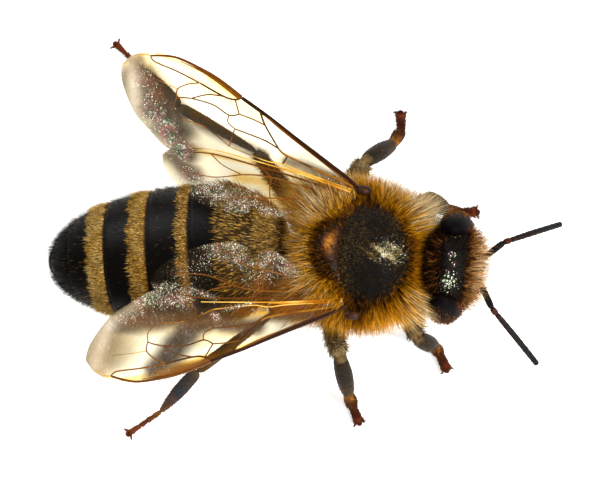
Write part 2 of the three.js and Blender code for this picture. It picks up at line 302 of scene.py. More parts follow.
def on_ball(turn, way):
    """A place on a ball of radius 1, wound from its rear to its front."""
    polar, round_ = math.pi * way, 2 * math.pi * turn
    ring = math.sin(polar)
    return -math.cos(polar), -ring * math.sin(round_), -ring * math.cos(round_)


def thorax_form(turn, way):
    x, y, z = on_ball(turn, way)
    behind = x < 0 and z > 0
    place = Vector((squared(x, 0.8 if behind else 0.88), squared(y, 0.92), squared(z, 0.95)))
    shield = math.hypot((place.x - 0.12) / 0.72, place.y / 0.86)
    groove = math.exp(-(((shield - 1) / 0.05) ** 2)) + 0.6 * math.exp(-((y / 0.025) ** 2))
    top = smooth(0.2, 0.6, z)
    place *= 1 - 0.02 * float(top) * groove
    return Vector(a * b for a, b in zip(place, THORAX_RADII))


def spot(x, y, middle, reach):
    """1 at the middle of a round patch on the skin, fading to 0 beyond its reach."""
    return math.exp(-((x - middle[0]) ** 2 + (y - middle[1]) ** 2) / (reach / 1.5) ** 2)


# Painted glint on the top of the shell, round the shield's gleam
def thorax_glint_mark(turn, way):
    place = thorax_form(turn, way)
    return 0.5 * spot(place.x, place.y, SHIELD_GLEAM, 0.5) if place.z > 0 else 0


bm = bmesh.new()
wrap(bm, thorax_frame, 96, 72, thorax_form, thorax_glint_mark)
thorax = finished(bm, "thorax_shell", shell, "fur", "thorax")


# The shield at the back of the thorax, a smooth crescent of dark horn with a glowing amber
# patch at its middle, painted light standing for light through the horn, and the two lids over
# the wing roots.
SCUTELLUM_RADII = (0.46, 1.06, 0.31)
LID_RADII = (0.27, 0.17, 0.15)


def amber_look(place):
    grain = place.noise(7, 3)
    tone = place.attribute("mark") + 0.35 * grain
    return {
        "Base Color": tone.ramp("070402", "180b04", "663810", "a86c22"),
        "Roughness": 0.36 + 0.25 * grain,
        "Normal": place.noise(20).bump(0.008),
    }


amber = material("amber_shell", amber_look, Specular_IOR_Level=0.12)


def oval(radii, droop=0):
    """A ball of three radii whose ends to left and right are drawn back by droop."""

    def form(turn, way):
        x, y, z = on_ball(turn, way)
        return Vector((x * radii[0] + droop * y * y, y * radii[1], z * radii[2]))

    return form


def painted_glow(turn, way):
    """Painted light through the horn: brightest at the middle of the top."""
    return 0.75 * math.exp(-((turn - 0.53) ** 2) / 0.006) * math.exp(-((way - 0.42) ** 2) / 0.03)


bm = bmesh.new()
scutellum_frame = turned(middle_of("scutellum"), THORAX_YAW, -14)
wrap(bm, scutellum_frame, 64, 40, oval(SCUTELLUM_RADII, 0.42), painted_glow)
scutellum = finished(bm, "scutellum_shield", amber, "shell", "scutellum")

for side in ("left", "right"):
    node = "tegula_" + side
    bm = bmesh.new()
    wrap(bm, turned(middle_of(node), THORAX_YAW), 32, 20, oval(LID_RADII), lambda turn, way: 0.2)
    finished(bm, "wing_lid_" + side, amber, "amber_shell", node)


# The head: a hard wedge-shaped case, widest across the eyes, with its face forward and a seam
# round the upper lip plate. The three small eyes are beads on its crown.
HEAD_YAW = -8
EYE_PLACE = (0.02, 1.35, 0.2)
HEAD_FACE = 0.94
HEAD_BACK = 0.62
HEAD_HALF_WIDTH = 1.5
HEAD_HALF_HEIGHT = 1.47
BEADS = ((-0.05, 0.27, 1.37), (-0.05, -0.27, 1.37), (0.1, 0, 1.4))
BEAD_RADIUS = 0.12
# Places on the crown, kept bare, where glints are painted on the horn: forward, left and reach
CROWN_GLEAMS = ((0.06, 1.04, 0.16), (0.06, 0.3, 0.14), (0.0, -0.6, 0.34), (-0.02, -1.0, 0.16))

eye_middle = (middle_of("eye_left") + middle_of("eye_right")) / 2
head_frame = turned(eye_middle, HEAD_YAW)
head_frame.translation = head_frame @ Vector((-EYE_PLACE[0], 0, -EYE_PLACE[2]))


def head_form(turn, way):
    polar, round_ = math.pi * way, 2 * math.pi * turn
    z, ring = -math.cos(polar), math.sin(polar)
    x, y = -ring * math.cos(round_), ring * math.sin(round_)
    below = max(0, -z)
    face = (HEAD_FACE if x > 0 else HEAD_BACK) * (1 - 0.16 * below)
    wide = HEAD_HALF_WIDTH * (1 - 0.44 * below - 0.08 * max(0, z))
    lip = math.hypot(y / 0.62, (z + 0.5) / 0.36)
    bulge = 0.1 * max(0, 1 - lip * lip) if x > 0 else 0
    seam = 0.02 * math.exp(-(((lip - 1) / 0.08) ** 2)) if x > 0 else 0
    valley = 0.05 * math.exp(-((y / 0.06) ** 2)) * max(0, z) if x > 0 else 0
    return Vector(
        (
            squared(x, 0.85) * (face + bulge - seam - valley),
            squared(y, 0.9) * wide,
            squared(z, 0.92) * HEAD_HALF_HEIGHT,
        )
    )


def crown_glint_mark(turn, way):
    place = head_form(turn, way)
    if place.z < 0.5:
        return 0
    return 0.4 * max(spot(place.x, place.y, (x, y), reach) for x, y, reach in CROWN_GLEAMS)


bm = bmesh.new()
wrap(bm, head_frame, 88, 64, head_form, crown_glint_mark)
head = finished(bm, "head_shell", shell, "fur", "head")


def bead_look(place):
    sheen = place.noise(12)
    return {"Base Color": sheen.ramp("0a0604", "3a1408"), "Roughness": 0.05 + 0.1 * sheen}


bead = material("bead", bead_look, Coat_Weight=1.0, Coat_Roughness=0.03)
bm = bmesh.new()
for x, y, z in BEADS:
    wrap(bm, head_frame @ Matrix.Translation((x, y, z)), 24, 16, oval((BEAD_RADIUS,) * 3))
finished(bm, "small_eyes", bead, "eye")


# The compound eyes: long ovals of thousands of tiny six-sided lenses, nearly black with a
# brownish red depth, each leaning out a little at the top.
EYE_RADII = (0.56, 0.46, 1.2)
EYE_LEAN = {"left": 9, "right": -9}


def eye_frame(side):
    return turned(middle_of("eye_" + side), HEAD_YAW, 0, EYE_LEAN[side])


def eye_look(place):
    """Nearly black, with a red-brown rim where mark is high."""
    lens = place.cells(34)
    depth = place.noise(2.2, 2) * 0.6 + place.attribute("mark")
    return {
        "Base Color": depth.ramp("010101", "030203", "0a0506", "26100c", "54281a"),
        "Roughness": 0.5 + 0.25 * lens,
        "Normal": (1 - lens).bump(0.005),
    }


compound = material("compound_eye", eye_look, Specular_IOR_Level=0.035)


def eye_form(turn, way):
    polar, round_ = math.pi * way, 2 * math.pi * turn
    z, ring = -math.cos(polar), math.sin(polar)
    x, y = ring * math.cos(round_), ring * math.sin(round_)
    kidney = 0.12 * (1 - z * z)
    return Vector((x * EYE_RADII[0] + kidney - 0.08, y * EYE_RADII[1], z * EYE_RADII[2]))


def eye_rim(turn, way):
    """Redder to the front, near the top."""
    ahead = smooth(0.5, 1, math.cos(2 * math.pi * turn) * math.sin(math.pi * way))
    return float(ahead * (0.12 + 0.68 * smooth(0.5, 0.72, way)))


eyes = {}
for side in ("left", "right"):
    bm = bmesh.new()
    wrap(bm, eye_frame(side), 56, 48, eye_form, eye_rim)
    eyes[side] = finished(bm, "compound_eye_" + side, compound, "eye", "eye_" + side)


# The feelers: a long first joint from the face, a short reddish one at the elbow, and a whip of
# ten even rings, each a little proud at its far end.
FEELER_RADIUS = 0.1
WHIP_RINGS = 10
PEDICEL = 0.26
ROW = Matrix.Scale(MM, 4)


def ends(node):
    """The two ends of the middle line of a long node, in millimetres."""
    places = np.array([v.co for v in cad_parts[node].data.vertices]) / MM
    axis = np.linalg.svd(places - places.mean(axis=0), full_matrices=False)[2][0]
    reach = places @ axis
    span = reach.max() - reach.min()
    found = []
    for limit, near in (
        (reach.min(), reach < reach.min() + 0.2 * span),
        (reach.max(), reach > reach.max() - 0.2 * span),
    ):
        middle = places[near].mean(axis=0)
        found.append(Vector(middle + axis * (limit - middle @ axis)))
    return found


def joint(inner, outer):
    """Where two long nodes meet, and the far end of each."""
    pairs = [(a, b) for a in ends(inner) for b in ends(outer)]
    near = min(pairs, key=lambda pair: (pair[0] - pair[1]).length)
    far_inner = next(a for a in ends(inner) if (a - near[0]).length > WELD)
    far_outer = next(b for b in ends(outer) if (b - near[1]).length > WELD)
    return far_inner, (near[0] + near[1]) / 2, far_outer


def through(points, way):
    """A place on the smooth curve through evenly spaced points, or a value through a few given."""
    at = way * (len(points) - 1)
    i = min(int(at), len(points) - 2)
    t = at - i
    before, after = points[max(i - 1, 0)], points[min(i + 2, len(points) - 1)]
    a, b = points[i], points[i + 1]
    return (
        a * 2
        + (b - before) * t
        + (before * 2 - a * 5 + b * 4 - after) * t**2
        + (a * 3 - before - b * 3 + after) * t**3
    ) / 2


def limb(path, breadths, depths=None, broad=Vector((0, 0, 1)), blunt=6, rings=0, flare=0):
    """The form of a round or flattened limb along a path, closed by rounded ends. Breadths and
    depths are radii through the way; rings swell it that many times, each by flare."""
    depths = depths or breadths

    def form(turn, way):
        t = (1 - math.cos(math.pi * way)) / 2 if not rings else way
        here = through(path, t)
        step = 1e-3
        along = (through(path, min(t + step, 1)) - through(path, max(t - step, 0))).normalized()
        wide = (broad - along * broad.dot(along)).normalized()
        deep = wide.cross(along)
        dome = math.sqrt(max(0, 1 - abs(2 * t - 1) ** blunt))
        swell = 1 + flare * ((t * rings) % 1) ** 2 if rings else 1
        round_ = 2 * math.pi * turn
        across = -math.cos(round_) * through(breadths, t) * dome * swell
        return here + wide * across + deep * (math.sin(round_) * through(depths, t) * dome * swell)

    return form


def feeler_look(place):
    grain = place.noise(16, 3)
    red = place.attribute("mark")
    return {
        "Base Color": (grain * 0.5 + red * 0.9).ramp("050506", "0d0b0a", "2c120a", "6b2a14"),
        "Roughness": 0.34 + 0.25 * grain,
        "Normal": place.cells(38).bump(0.006),
    }


feeler = material("feeler", feeler_look, Specular_IOR_Level=0.08)
for side in ("left", "right"):
    root, elbow, tip = joint("scape_" + side, "flagellum_" + side)
    root = root + (root - elbow).normalized() * 0.15
    turn_end = elbow + (tip - elbow).normalized() * PEDICEL
    bow = Vector((0, 0, 0.1))
    bm = bmesh.new()
    scape = [root, root.lerp(elbow, 0.5) + bow * 0.5, elbow]
    wrap(bm, ROW, 16, 24, limb(scape, (0.09, 0.11, 0.11), blunt=8))
    pedicel = limb([elbow, turn_end], (0.1, 0.11), blunt=5)
    wrap(bm, ROW, 16, 12, pedicel, lambda turn, way: 0.5)
    whip = [turn_end, turn_end.lerp(tip, 0.5) + bow, tip]
    radii = (0.085, FEELER_RADIUS, FEELER_RADIUS, 0.095)
    swollen = limb(whip, radii, blunt=40, rings=WHIP_RINGS, flare=0.09)
    wrap(bm, ROW, 16, WHIP_RINGS * 8, swollen, lambda turn, way: 0.25 * (1 - way))
    nodes = ["scape_" + side, "flagellum_" + side]
    finished(bm, "feeler_" + side, feeler, "shell", *nodes)


# The mouth: two spoon-shaped amber jaws that meet under the face, an upper lip, and the tongue
# with its sheath, folded back under the head.
JAW_RADII = (0.19, 0.16, 0.2, 0.1)
TONGUE_RADII = (0.19, 0.16, 0.13)
LIP = {"place": (0.72, 0, -1.22), "radii": (0.14, 0.42, 0.2)}

for side in ("left", "right"):
    node = "mandible_" + side
    upper, lower = sorted(ends(node), key=lambda place: -place.z)
    upper = upper + (upper - lower) * 0.25
    bm = bmesh.new()
    jaw = limb([upper, upper.lerp(lower, 0.5), lower], JAW_RADII, (0.14, 0.13, 0.1, 0.07), blunt=5)
    wrap(bm, ROW, 20, 20, jaw, lambda turn, way: 0.28 - 0.15 * way)
    finished(bm, "jaw_" + side, amber, "amber_shell", node)

bm = bmesh.new()
low, high = (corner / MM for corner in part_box("proboscis"))
fold = [
    Vector((high.x, (low.y + high.y) / 2, high.z)),
    Vector((low.x * 0.4 + high.x * 0.6, (low.y + high.y) / 2, low.z + 0.22)),
    Vector((low.x + 0.1, (low.y + high.y) / 2, low.z + 0.3)),
]
wrap(bm, ROW, 20, 24, limb(fold, TONGUE_RADII, blunt=5), lambda turn, way: 0.26)
wrap(bm, head_frame @ Matrix.Translation(LIP["place"]), 24, 16, oval(LIP["radii"]))
finished(bm, "tongue_and_lip", amber, "amber_shell", "proboscis")


# The neck and the waist: short dark stalks that join the three parts of the body.
STALK_RADIUS = 0.4

for node in ("neck", "waist"):
    bm = bmesh.new()
    wrap(bm, ROW, 24, 12, limb(ends(node), (STALK_RADIUS, STALK_RADIUS), blunt=8))
    finished(bm, node + "_stalk", shell, "shell", node)


# The abdomen: six rings of glossy black horn, each tucked under the one before. A felt of short
# golden hair lies across the front of the third to the fifth; the first two are browner.
WAIST_OFFSET = (-2.24, 0.29, -0.32)
ABDOMEN = {"bearing": 183, "droop": 8, "length": 7.98, "fullest": 2.5, "neck": 0.38, "tail": 0.16}
ABDOMEN_HALF_WIDTH = 2.23
ABDOMEN_HALF_HEIGHT = 1.65
BELLY = 0.94
BOW = 0.22
PLATE_EDGES = (0.05, 0.8, 2.83, 4.24, 5.71, 7.09, 7.98)
TAIL_PLATE = 5
TUCK = 0.26
PLATE_RISE = 0.035
SIDE_SEAM = 112
# Where the felt starts and ends on each plate, as shares of what shows, and how golden it is
FELT = (
    (-0.5, 1.5, 0.6), (-0.2, 0.66, 0.5), (0.08, 0.36, 0.9), (0.08, 0.5, 1), (0.06, 0.5, 1), None
)

waist = thorax_frame.translation + Vector(WAIST_OFFSET) * MM
waist_frame = turned(waist, ABDOMEN["bearing"], -ABDOMEN["droop"])


def girth(s):
    """Half the abdomen's breadth at a distance behind the waist, as a share of the fullest."""
    fullest = ABDOMEN["fullest"]
    if s < fullest:
        return 1 - (1 - ABDOMEN["neck"]) * (max(0, fullest - s) / fullest) ** 2.6
    behind = min((s - fullest) / (ABDOMEN["length"] - fullest), 1)
    return max(math.sqrt(1 - behind**2.2), ABDOMEN["tail"])


def plate_shares(number, way):
    """Where a plate's surface is along the abdomen, and how far out as a share of the girth."""
    front, hind = PLATE_EDGES[number], PLATE_EDGES[number + 1]
    start = front - (TUCK if number else 0)
    lift = PLATE_RISE / ABDOMEN_HALF_WIDTH
    stops = (0, 0.06, 0.1, 0.86, 0.9, 0.94, 1)
    along = (start + 0.12, start, start + 0.03, hind - 0.03, hind, hind - 0.02, hind - 0.12)
    out = (0, 0.94, 1 - lift, 1 + lift, 1 + lift * 0.5, 0.94, 0)
    if number == TAIL_PLATE:
        along = (*along[:3], hind - 0.06, hind - 0.01, hind + 0.03, hind + 0.05)
        out = (*out[:3], 1, 0.9, 0.6, 0)
    return float(np.interp(way, stops, along)), float(np.interp(way, stops, out))


def plate_form(number):
    def form(turn, way):
        s, out = plate_shares(number, way)
        round_ = 2 * math.pi * turn
        y, z = math.sin(round_), -math.cos(round_)
        from_top = abs(math.degrees(math.atan2(y, z)))
        seam = 0.025 * math.exp(-(((from_top - SIDE_SEAM) / 3) ** 2))
        radius = girth(s) * (out - seam * min(out, 1))
        bowed = BOW * (1 + z) / 2 * min(girth(s) * 1.2, 1)
        height = ABDOMEN_HALF_HEIGHT * (BELLY if z < 0 else 1)
        return Vector((s + bowed, y * radius * ABDOMEN_HALF_WIDTH, z * radius * height))

    return form


def shown_share(number, way):
    """How far a place is along the part of a plate that shows, from its front edge."""
    front, hind = PLATE_EDGES[number], PLATE_EDGES[number + 1]
    return (plate_shares(number, way)[0] - front) / (hind - front)


def felt_mark(number):
    def marking(turn, way):
        if FELT[number] is None:
            return 0
        first, last, gold = FELT[number]
        share = shown_share(number, way)
        ragged = 0.025 * math.sin(71 * turn) + 0.02 * math.sin(187 * turn + number)
        inside = smooth(first - 0.05, first + 0.03, share) * (
            1 - smooth(last - 0.12 + ragged, last + 0.05 + ragged, share)
        )
        return float(inside) * gold

    return marking


def plate_look(place):
    grain = place.noise(5, 3)
    fine = place.noise(45, 2)
    gold = place.attribute("mark")
    tone = grain * 0.28 + gold * 0.7
    return {
        "Base Color": tone.ramp("020101", "070504", "2c1c0a", "5a3c12", "80602a"),
        "Roughness": 0.3 + 0.2 * fine + 0.2 * gold,
        "Normal": fine.bump(0.004),
    }


plate_horn = material("plate_horn", plate_look, Specular_IOR_Level=0.07)
plates = []
for number in range(6):
    bm = bmesh.new()
    wrap(bm, waist_frame, 96, 34, plate_form(number), felt_mark(number))
    node = f"abdomen_{number + 1}"
    plates.append(finished(bm, f"plate_{number + 1}", plate_horn, "shell", node))


# The legs: hard jointed tubes, dark to the ankle, with amber at each joint and red-brown feet.
# The shin and the heel piece of a hind leg are broad and flat, and carry pollen.
LEG_BREADTHS = {
    "fore": ((0.24, 0.3, 0.2), (0.18, 0.27, 0.27), (0.2, 0.28, 0.21), (0.16, 0.2, 0.16)),
    "mid": ((0.26, 0.3, 0.2), (0.2, 0.29, 0.32), (0.23, 0.29, 0.21), (0.16, 0.2, 0.17)),
    "hind": ((0.26, 0.32, 0.22), (0.18, 0.28, 0.2), (0.1, 0.17, 0.2), (0.21, 0.22, 0.09)),
}
FLAT = {"tibia": (0.12, 0.15, 0.13), "basitarsus": (0.1, 0.11, 0.08)}
TOE_HEIGHTS = {"fore": 0.18, "mid": 0.18, "hind": 0.12}
TOE_SHARES = (0, 0.24, 0.44, 0.64, 1)
TOE_RADII = {
    "fore": ((0.11, 0.16), (0.11, 0.17), (0.12, 0.18), (0.12, 0.2)),
    "mid": ((0.11, 0.16), (0.11, 0.17), (0.12, 0.18), (0.12, 0.2)),
    "hind": ((0.08, 0.1), (0.075, 0.1), (0.07, 0.095), (0.065, 0.11)),
}
CLAW = {"out": 0.19, "on": 0.12, "radii": (0.05, 0.036, 0.008)}
PAD_RADII = (0.1, 0.1, 0.05)
SEGMENTS = ("coxa", "femur", "tibia", "basitarsus", "tarsus")


def horn_of(*dyes):
    """Leg horn, dyed from the hip, where mark is 0, to the claws, where it is 1."""

    def look(place):
        grain = place.noise(6, 3)
        reach = place.attribute("mark") + (grain - 0.5) * 0.05
        return {
            "Base Color": reach.ramp(*dyes),
            "Roughness": 0.34 + 0.3 * grain,
            "Normal": place.cells(26).bump(0.008),
        }

    return look


LEG_DYES = (
    "080605", "080605", "0a0806", "0a0806", "0e0b08", "14100b", "241d14", "4a3f2a", "7c6640",
    "1a1408", "171106", "30220c", "7a5220", "945c22", "5a2c12", "4a1c0e", "3e160c", "3a140c",
    "3a140c", "4a1e10", "5e2812",
)
HIND_DYES = (
    "080605", "0a0806", "120e09", "241a0e", "2a1e0c", "44300f", "4a381c", "262c32", "6a4416",
    "4c2410", "5e2a14",
)
leg_horn = material("leg_horn", horn_of(*LEG_DYES), Specular_IOR_Level=0.06)
hind_horn = material("hind_leg_horn", horn_of(*HIND_DYES), Specular_IOR_Level=0.06)


def reach_mark(index):
    """How far down the leg a place is: the five segments count alike."""
    return lambda turn, way: (index + way) / len(SEGMENTS)


def leg_joints(name, pair):
    nodes = [f"{name}_{segment}" for segment in SEGMENTS]
    found = [joint(inner, outer) for inner, outer in zip(nodes, nodes[1:])]
    path = [found[0][0]] + [meeting for _, meeting, _ in found] + [found[-1][2]]
    path[-1].z = TOE_HEIGHTS[pair]
    return path


def build_leg(name, pair):
    """Builds one leg as two pieces, the leg down to the ankle and the foot."""
    path = leg_joints(name, pair)
    horn = hind_horn if pair == "hind" else leg_horn
    bm = bmesh.new()
    for index, segment in enumerate(SEGMENTS[:4]):
        start, end = path[index], path[index + 1]
        lift = Vector((0, 0, 0.07 if segment in ("femur", "tibia") else 0))
        line = [start, start.lerp(end, 0.5) + lift, end]
        breadths = LEG_BREADTHS[pair][index]
        broad = (end - start).cross(Vector((0, 0, 1))).normalized()
        flat = FLAT.get(segment) if pair == "hind" else None
        form = limb(line, breadths, flat, broad, blunt=9 if segment == "basitarsus" else 7)
        wrap(bm, ROW, 24, 26, form, reach_mark(index))
        if segment == "tibia":
            nodes = [f"{name}_{part}" for part in SEGMENTS[:3]]
            upper = finished(bm, "leg_" + name, horn, "leg", *nodes)
            bm = bmesh.new()
    heel, toe = path[4], path[5]
    sag = Vector((0, 0, -0.05))
    curve = [heel, heel.lerp(toe, 0.5) + sag, toe]
    for i, (inner, outer) in enumerate(TOE_RADII[pair]):
        bead = [through(curve, TOE_SHARES[i]), through(curve, TOE_SHARES[i + 1])]
        form = limb(bead, (inner, outer * 0.8, outer), blunt=10)
        wrap(bm, ROW, 14, 14, form, lambda turn, way, i=i: (4 + (i + way) / 4) / 5)
    onward = (toe - heel).normalized()
    sideways = onward.cross(Vector((0, 0, 1))).normalized()
    for hand in (1, -1):
        root = toe - onward * 0.03
        bend = toe + onward * CLAW["on"] * 0.7 + sideways * hand * CLAW["out"] * 0.8
        bend.z = toe.z + 0.02
        point = toe + onward * CLAW["on"] + sideways * hand * CLAW["out"] * 1.35
        point.z = 0.012
        claw = limb([root, bend, point], CLAW["radii"], blunt=30)
        wrap(bm, ROW, 10, 14, claw, lambda turn, way: 1.0)
    pad = toe + onward * 0.1
    pad.z = PAD_RADII[2]
    heading = math.degrees(math.atan2(onward.y, onward.x))
    wrap(bm, turned(pad * MM, heading), 14, 10, oval(PAD_RADII), lambda turn, way: 0.92)
    nodes = [f"{name}_{part}" for part in SEGMENTS[3:]]
    foot = finished(bm, "foot_" + name, horn, "foot", *nodes)
    return path, upper, foot


legs = {}
for pair in ("fore", "mid", "hind"):
    for side in ("left", "right"):
        legs[f"{pair}_{side}"] = build_leg(f"{pair}_{side}", pair)


# The wings: clear skins stretched between stiff branching veins, straw-coloured, amber along the
# front edge, with painted shade in smoky patches and painted sparkles in places. The hind wing
# hooks on behind the forewing.
WING_SPREAD = {
    "left": {"offset": (-0.06, 2.15, 1.03), "bearing": 153, "roll": 8, "out": 1},
    "right": {"offset": (-0.39, -1.74, 1.03), "bearing": 191, "roll": 13, "out": -1},
}
# Edges of each wing: along it from the hinge, and towards its front edge
FORE_FRONT = (
    (0.05, 0), (0.6, 0.17), (2.3, 0.48), (4.7, 0.98), (6.2, 1.2), (7.7, 1.02), (8.4, 0.6),
    (8.66, 0.1),
)
FORE_HIND = (
    (0.05, -0.3), (1.8, -0.53), (3.08, -0.76), (4.64, -1.07), (5.37, -1.38), (6.03, -1.7),
    (6.85, -1.45), (7.6, -1.12), (8.38, -0.42), (8.66, 0.1),
)
HIND_FRONT = (
    (0.4, -0.22), (1.8, -0.45), (3.08, -0.68), (4.64, -1.0), (5.37, -1.32), (5.95, -1.64),
    (6.12, -1.95),
)
HIND_HIND = (
    (0.4, -0.55), (1.5, -1.72), (1.95, -2.2), (2.36, -2.26), (2.68, -2.17), (2.82, -2.48),
    (3.3, -2.76), (4.2, -2.83), (5.1, -2.68), (5.85, -2.3), (6.12, -1.95),
)
SKIN_THICKNESS = 0.014
# Soft streaks on the skin of the wings: from, to, breadth and strength. The first table is
# painted shade and dark reflection, laid on as a smoky film.
PAINTED_SHADE_STREAKS = {
    "left": (
        ((8.35, 0.5), (7.8, 0.1), 0.22, 0.6),
        ((7.8, 0.05), (6.2, -0.6), 0.36, 0.95),
        ((8.0, -0.2), (7.0, -0.75), 0.48, 1.3),
        ((7.8, -0.7), (7.2, -0.85), 0.3, 0.95),
        ((7.0, -0.75), (6.0, -1.1), 0.5, 1.2),
        ((6.3, -1.2), (5.4, -1.55), 0.36, 1.0),
        ((5.9, -1.85), (4.9, -2.05), 0.28, 0.8),
        ((5.6, -0.5), (3.2, -0.5), 0.2, 0.6),
        ((2.4, -0.3), (0.8, -0.05), 0.16, 0.5),
    ),
    "right": (
        ((7.7, -0.8), (5.2, -0.65), 0.32, 0.85),
        ((6.5, 0.85), (5.9, 0.4), 0.34, 1.0),
        ((5.9, 0.4), (5.3, -0.15), 0.38, 1.15),
        ((5.4, -0.3), (4.2, -0.3), 0.26, 1.0),
        ((4.1, -0.2), (3.0, 0.1), 0.26, 0.95),
        ((6.7, 1.0), (4.6, 0.93), 0.11, 0.85),
        ((2.8, -0.1), (1.2, 0.05), 0.12, 0.4),
        ((8.7, 0.3), (7.9, -0.1), 0.85, 0.55),
    ),
}
AMBER = {
    "left": (
        ((4.8, 0.9), (6.0, 1.08), 0.08, 1.0),
        ((6.0, 1.1), (7.8, 0.95), 0.06, 0.6),
        ((6.4, 0.8), (3.9, 0.6), 0.36, 0.26),
        ((8.2, 0.4), (7.2, -0.3), 0.4, 0.4),
        ((0.2, -0.2), (2.4, -0.55), 0.24, 0.4),
        ((2.4, -0.65), (5.4, -1.35), 0.08, 0.6),
        ((0.3, -0.8), (2.6, -1.2), 0.34, 0.62),
        ((1.0, -1.2), (2.2, -1.7), 0.4, 0.6),
        ((2.6, -1.2), (3.6, -1.5), 0.2, 0.6),
    ),
    "right": (
        ((2.6, 0.5), (4.6, 0.86), 0.1, 0.7),
        ((4.4, 0.84), (6.4, 1.04), 0.17, 1.15),
        ((4.8, 0.2), (3.2, 0.15), 0.34, 0.3),
        ((6.4, 1.06), (7.6, 0.98), 0.07, 0.8),
        ((8.4, 0.4), (7.6, -0.2), 0.6, 0.3),
        ((7.0, -0.9), (3.6, -0.3), 0.4, 0.42),
        ((0.2, -0.15), (3.4, -0.5), 0.3, 0.9),
        ((0.5, -0.7), (2.8, -1.2), 0.3, 0.7),
    ),
}
# Where sparkles and an oily sheen are painted on the skin
GLINTS = {
    "left": (
        ((7.9, 0.1), (7.0, -0.75), 0.34, 0.4),
        ((7.2, -0.95), (6.3, -1.05), 0.2, 0.95),
        ((6.7, -1.3), (5.5, -1.55), 0.24, 0.9),
        ((5.2, -2.2), (4.2, -2.1), 0.24, 0.8),
        ((4.4, -2.3), (2.7, -2.2), 0.36, 0.75),
        ((2.5, -2.1), (1.7, -1.95), 0.18, 0.85),
        ((3.3, -1.8), (2.7, -1.7), 0.16, 0.5),
        ((0.9, -0.2), (0.4, -0.1), 0.12, 0.5),
    ),
    "right": (
        ((6.5, -1.5), (5.1, -1.25), 0.26, 1.0),
        ((6.0, -1.7), (5.4, -1.65), 0.16, 0.7),
        ((7.2, -1.0), (6.6, -1.0), 0.16, 0.5),
        ((4.9, -1.5), (4.2, -1.05), 0.1, 0.7),
        ((5.0, -2.1), (4.4, -2.2), 0.44, 0.17),
        ((2.9, -1.5), (2.2, -1.6), 0.3, 0.36),
        ((4.35, -0.6), (4.2, -0.4), 0.08, 1.2),
        ((4.0, -0.64), (3.0, -0.68), 0.05, 1.2),
        ((3.0, -0.45), (2.6, -0.4), 0.05, 1.1),
        ((3.9, -2.7), (2.7, -2.75), 0.3, 1.0),
        ((3.6, -2.4), (3.0, -2.1), 0.24, 0.9),
        ((2.9, -2.0), (2.4, -1.8), 0.1, 1.0),
        ((2.3, -2.2), (1.2, -1.25), 0.25, 1.0),
        ((0.7, -0.2), (0.2, -0.1), 0.06, 0.8),
    ),
}
# How much light of each colour gets through the clear skin, its amber places and its smoky
# ones, which are painted shade
FILMS = {"clear": (0.98, 0.945, 0.82), "amber": (0.9, 0.66, 0.17), "painted_shade_film": (0.2, 0.16, 0.12)}
HIND_DROP = -0.12
FLUTE = 0.035
EDGE_STEPS = 90
SORTING = Vector((1, math.sqrt(2), math.sqrt(3)))
# The pale rim past the veins, as streaks
RIM = (((8.5, 0.5), (7.7, -0.9), 0.3, 1), ((7.4, -1.05), (6.1, -1.6), 0.2, 0.8))


def wing_frame(side):
    """Out along the wing, towards its front edge, and up through its thickness, in millimetres."""
    spread = WING_SPREAD[side]
    bearing, roll = math.radians(spread["bearing"]), math.radians(spread["roll"])
    along = Vector((math.cos(bearing), math.sin(bearing), 0))
    front = Vector((along.y, -along.x, 0)) * spread["out"] * math.cos(roll)
    front.z = -math.sin(roll)
    up = along.cross(front) * spread["out"] * -1
    turn = Matrix((along, front, up)).transposed().to_4x4()
    origin = thorax_frame.translation + Vector(spread["offset"]) * MM
    return Matrix.Translation(origin) @ turn @ Matrix.Scale(MM, 4)


def edge_at(edge, along):
    """How far towards the front an edge is at a distance along the wing."""
    xs, ys = zip(*edge)
    return float(np.interp(along, xs, ys))


def eased(edge):
    """An edge drawn as a smooth curve through its points."""
    points = [Vector((x, y, 0)) for x, y in edge]
    return [tuple(through(points, i / EDGE_STEPS).xy) for i in range(EDGE_STEPS + 1)]


def wing_height(along, front):
    """The wing's own relief: folded like a fan near the hinge, slightly arched beyond."""
    fan = math.sin(front * 9 + along * 0.6) * FLUTE * math.exp(-along / 3)
    return fan + 0.05 * math.sin(along * 0.9) + 0.012 * math.sin(along * 5 + front * 7)


def membrane(bm, base, front_edge, hind_edge, drop, spans, chords):
    """A thin closed skin between a wing's two edges. Solidify lists its faces in a chance order,
    so they are sorted by place."""
    start, end = front_edge[0][0], front_edge[-1][0]
    ahead, behind = eased(front_edge), eased(hind_edge)
    sheet = bmesh.ops.create_grid(bm, x_segments=spans, y_segments=chords, size=0.5)["verts"]
    for vert in sheet:
        share, chord = vert.co.x + 0.5, vert.co.y + 0.5
        along = start + (end - start) * math.sin(share * math.pi / 2)
        low, high = edge_at(behind, along), edge_at(ahead, along)
        front = low + (high - low) * chord
        vert.co = Vector((along, front, wing_height(along, front) + drop))
    bmesh.ops.remove_doubles(bm, verts=sheet, dist=1e-5)
    bmesh.ops.recalc_face_normals(bm, faces=bm.faces)
    bmesh.ops.solidify(bm, geom=bm.faces[:], thickness=SKIN_THICKNESS)
    bm.verts.sort(key=lambda vert: vert.co.dot(SORTING))
    bm.faces.sort(key=lambda face: face.calc_center_median().dot(SORTING))
    bmesh.ops.transform(bm, matrix=base, verts=bm.verts)


# Colours of the painted sparkles, from dim to white
SPARKLE_PAINT = ("1e1914", "3c342a", "5c5040", "b85c60", "64a866", "8a8070", "d8ccb8", "ffffff")


def sparkle(place):
    """Painted sparkles standing for light caught by the pleated skin, and a random hue for each."""
    chance, hue = place.chances(50)
    gather = place.noise(3, 3).step(0.36, 0.62)
    return chance < place.attribute("glint") * (0.12 + 0.44 * gather), hue


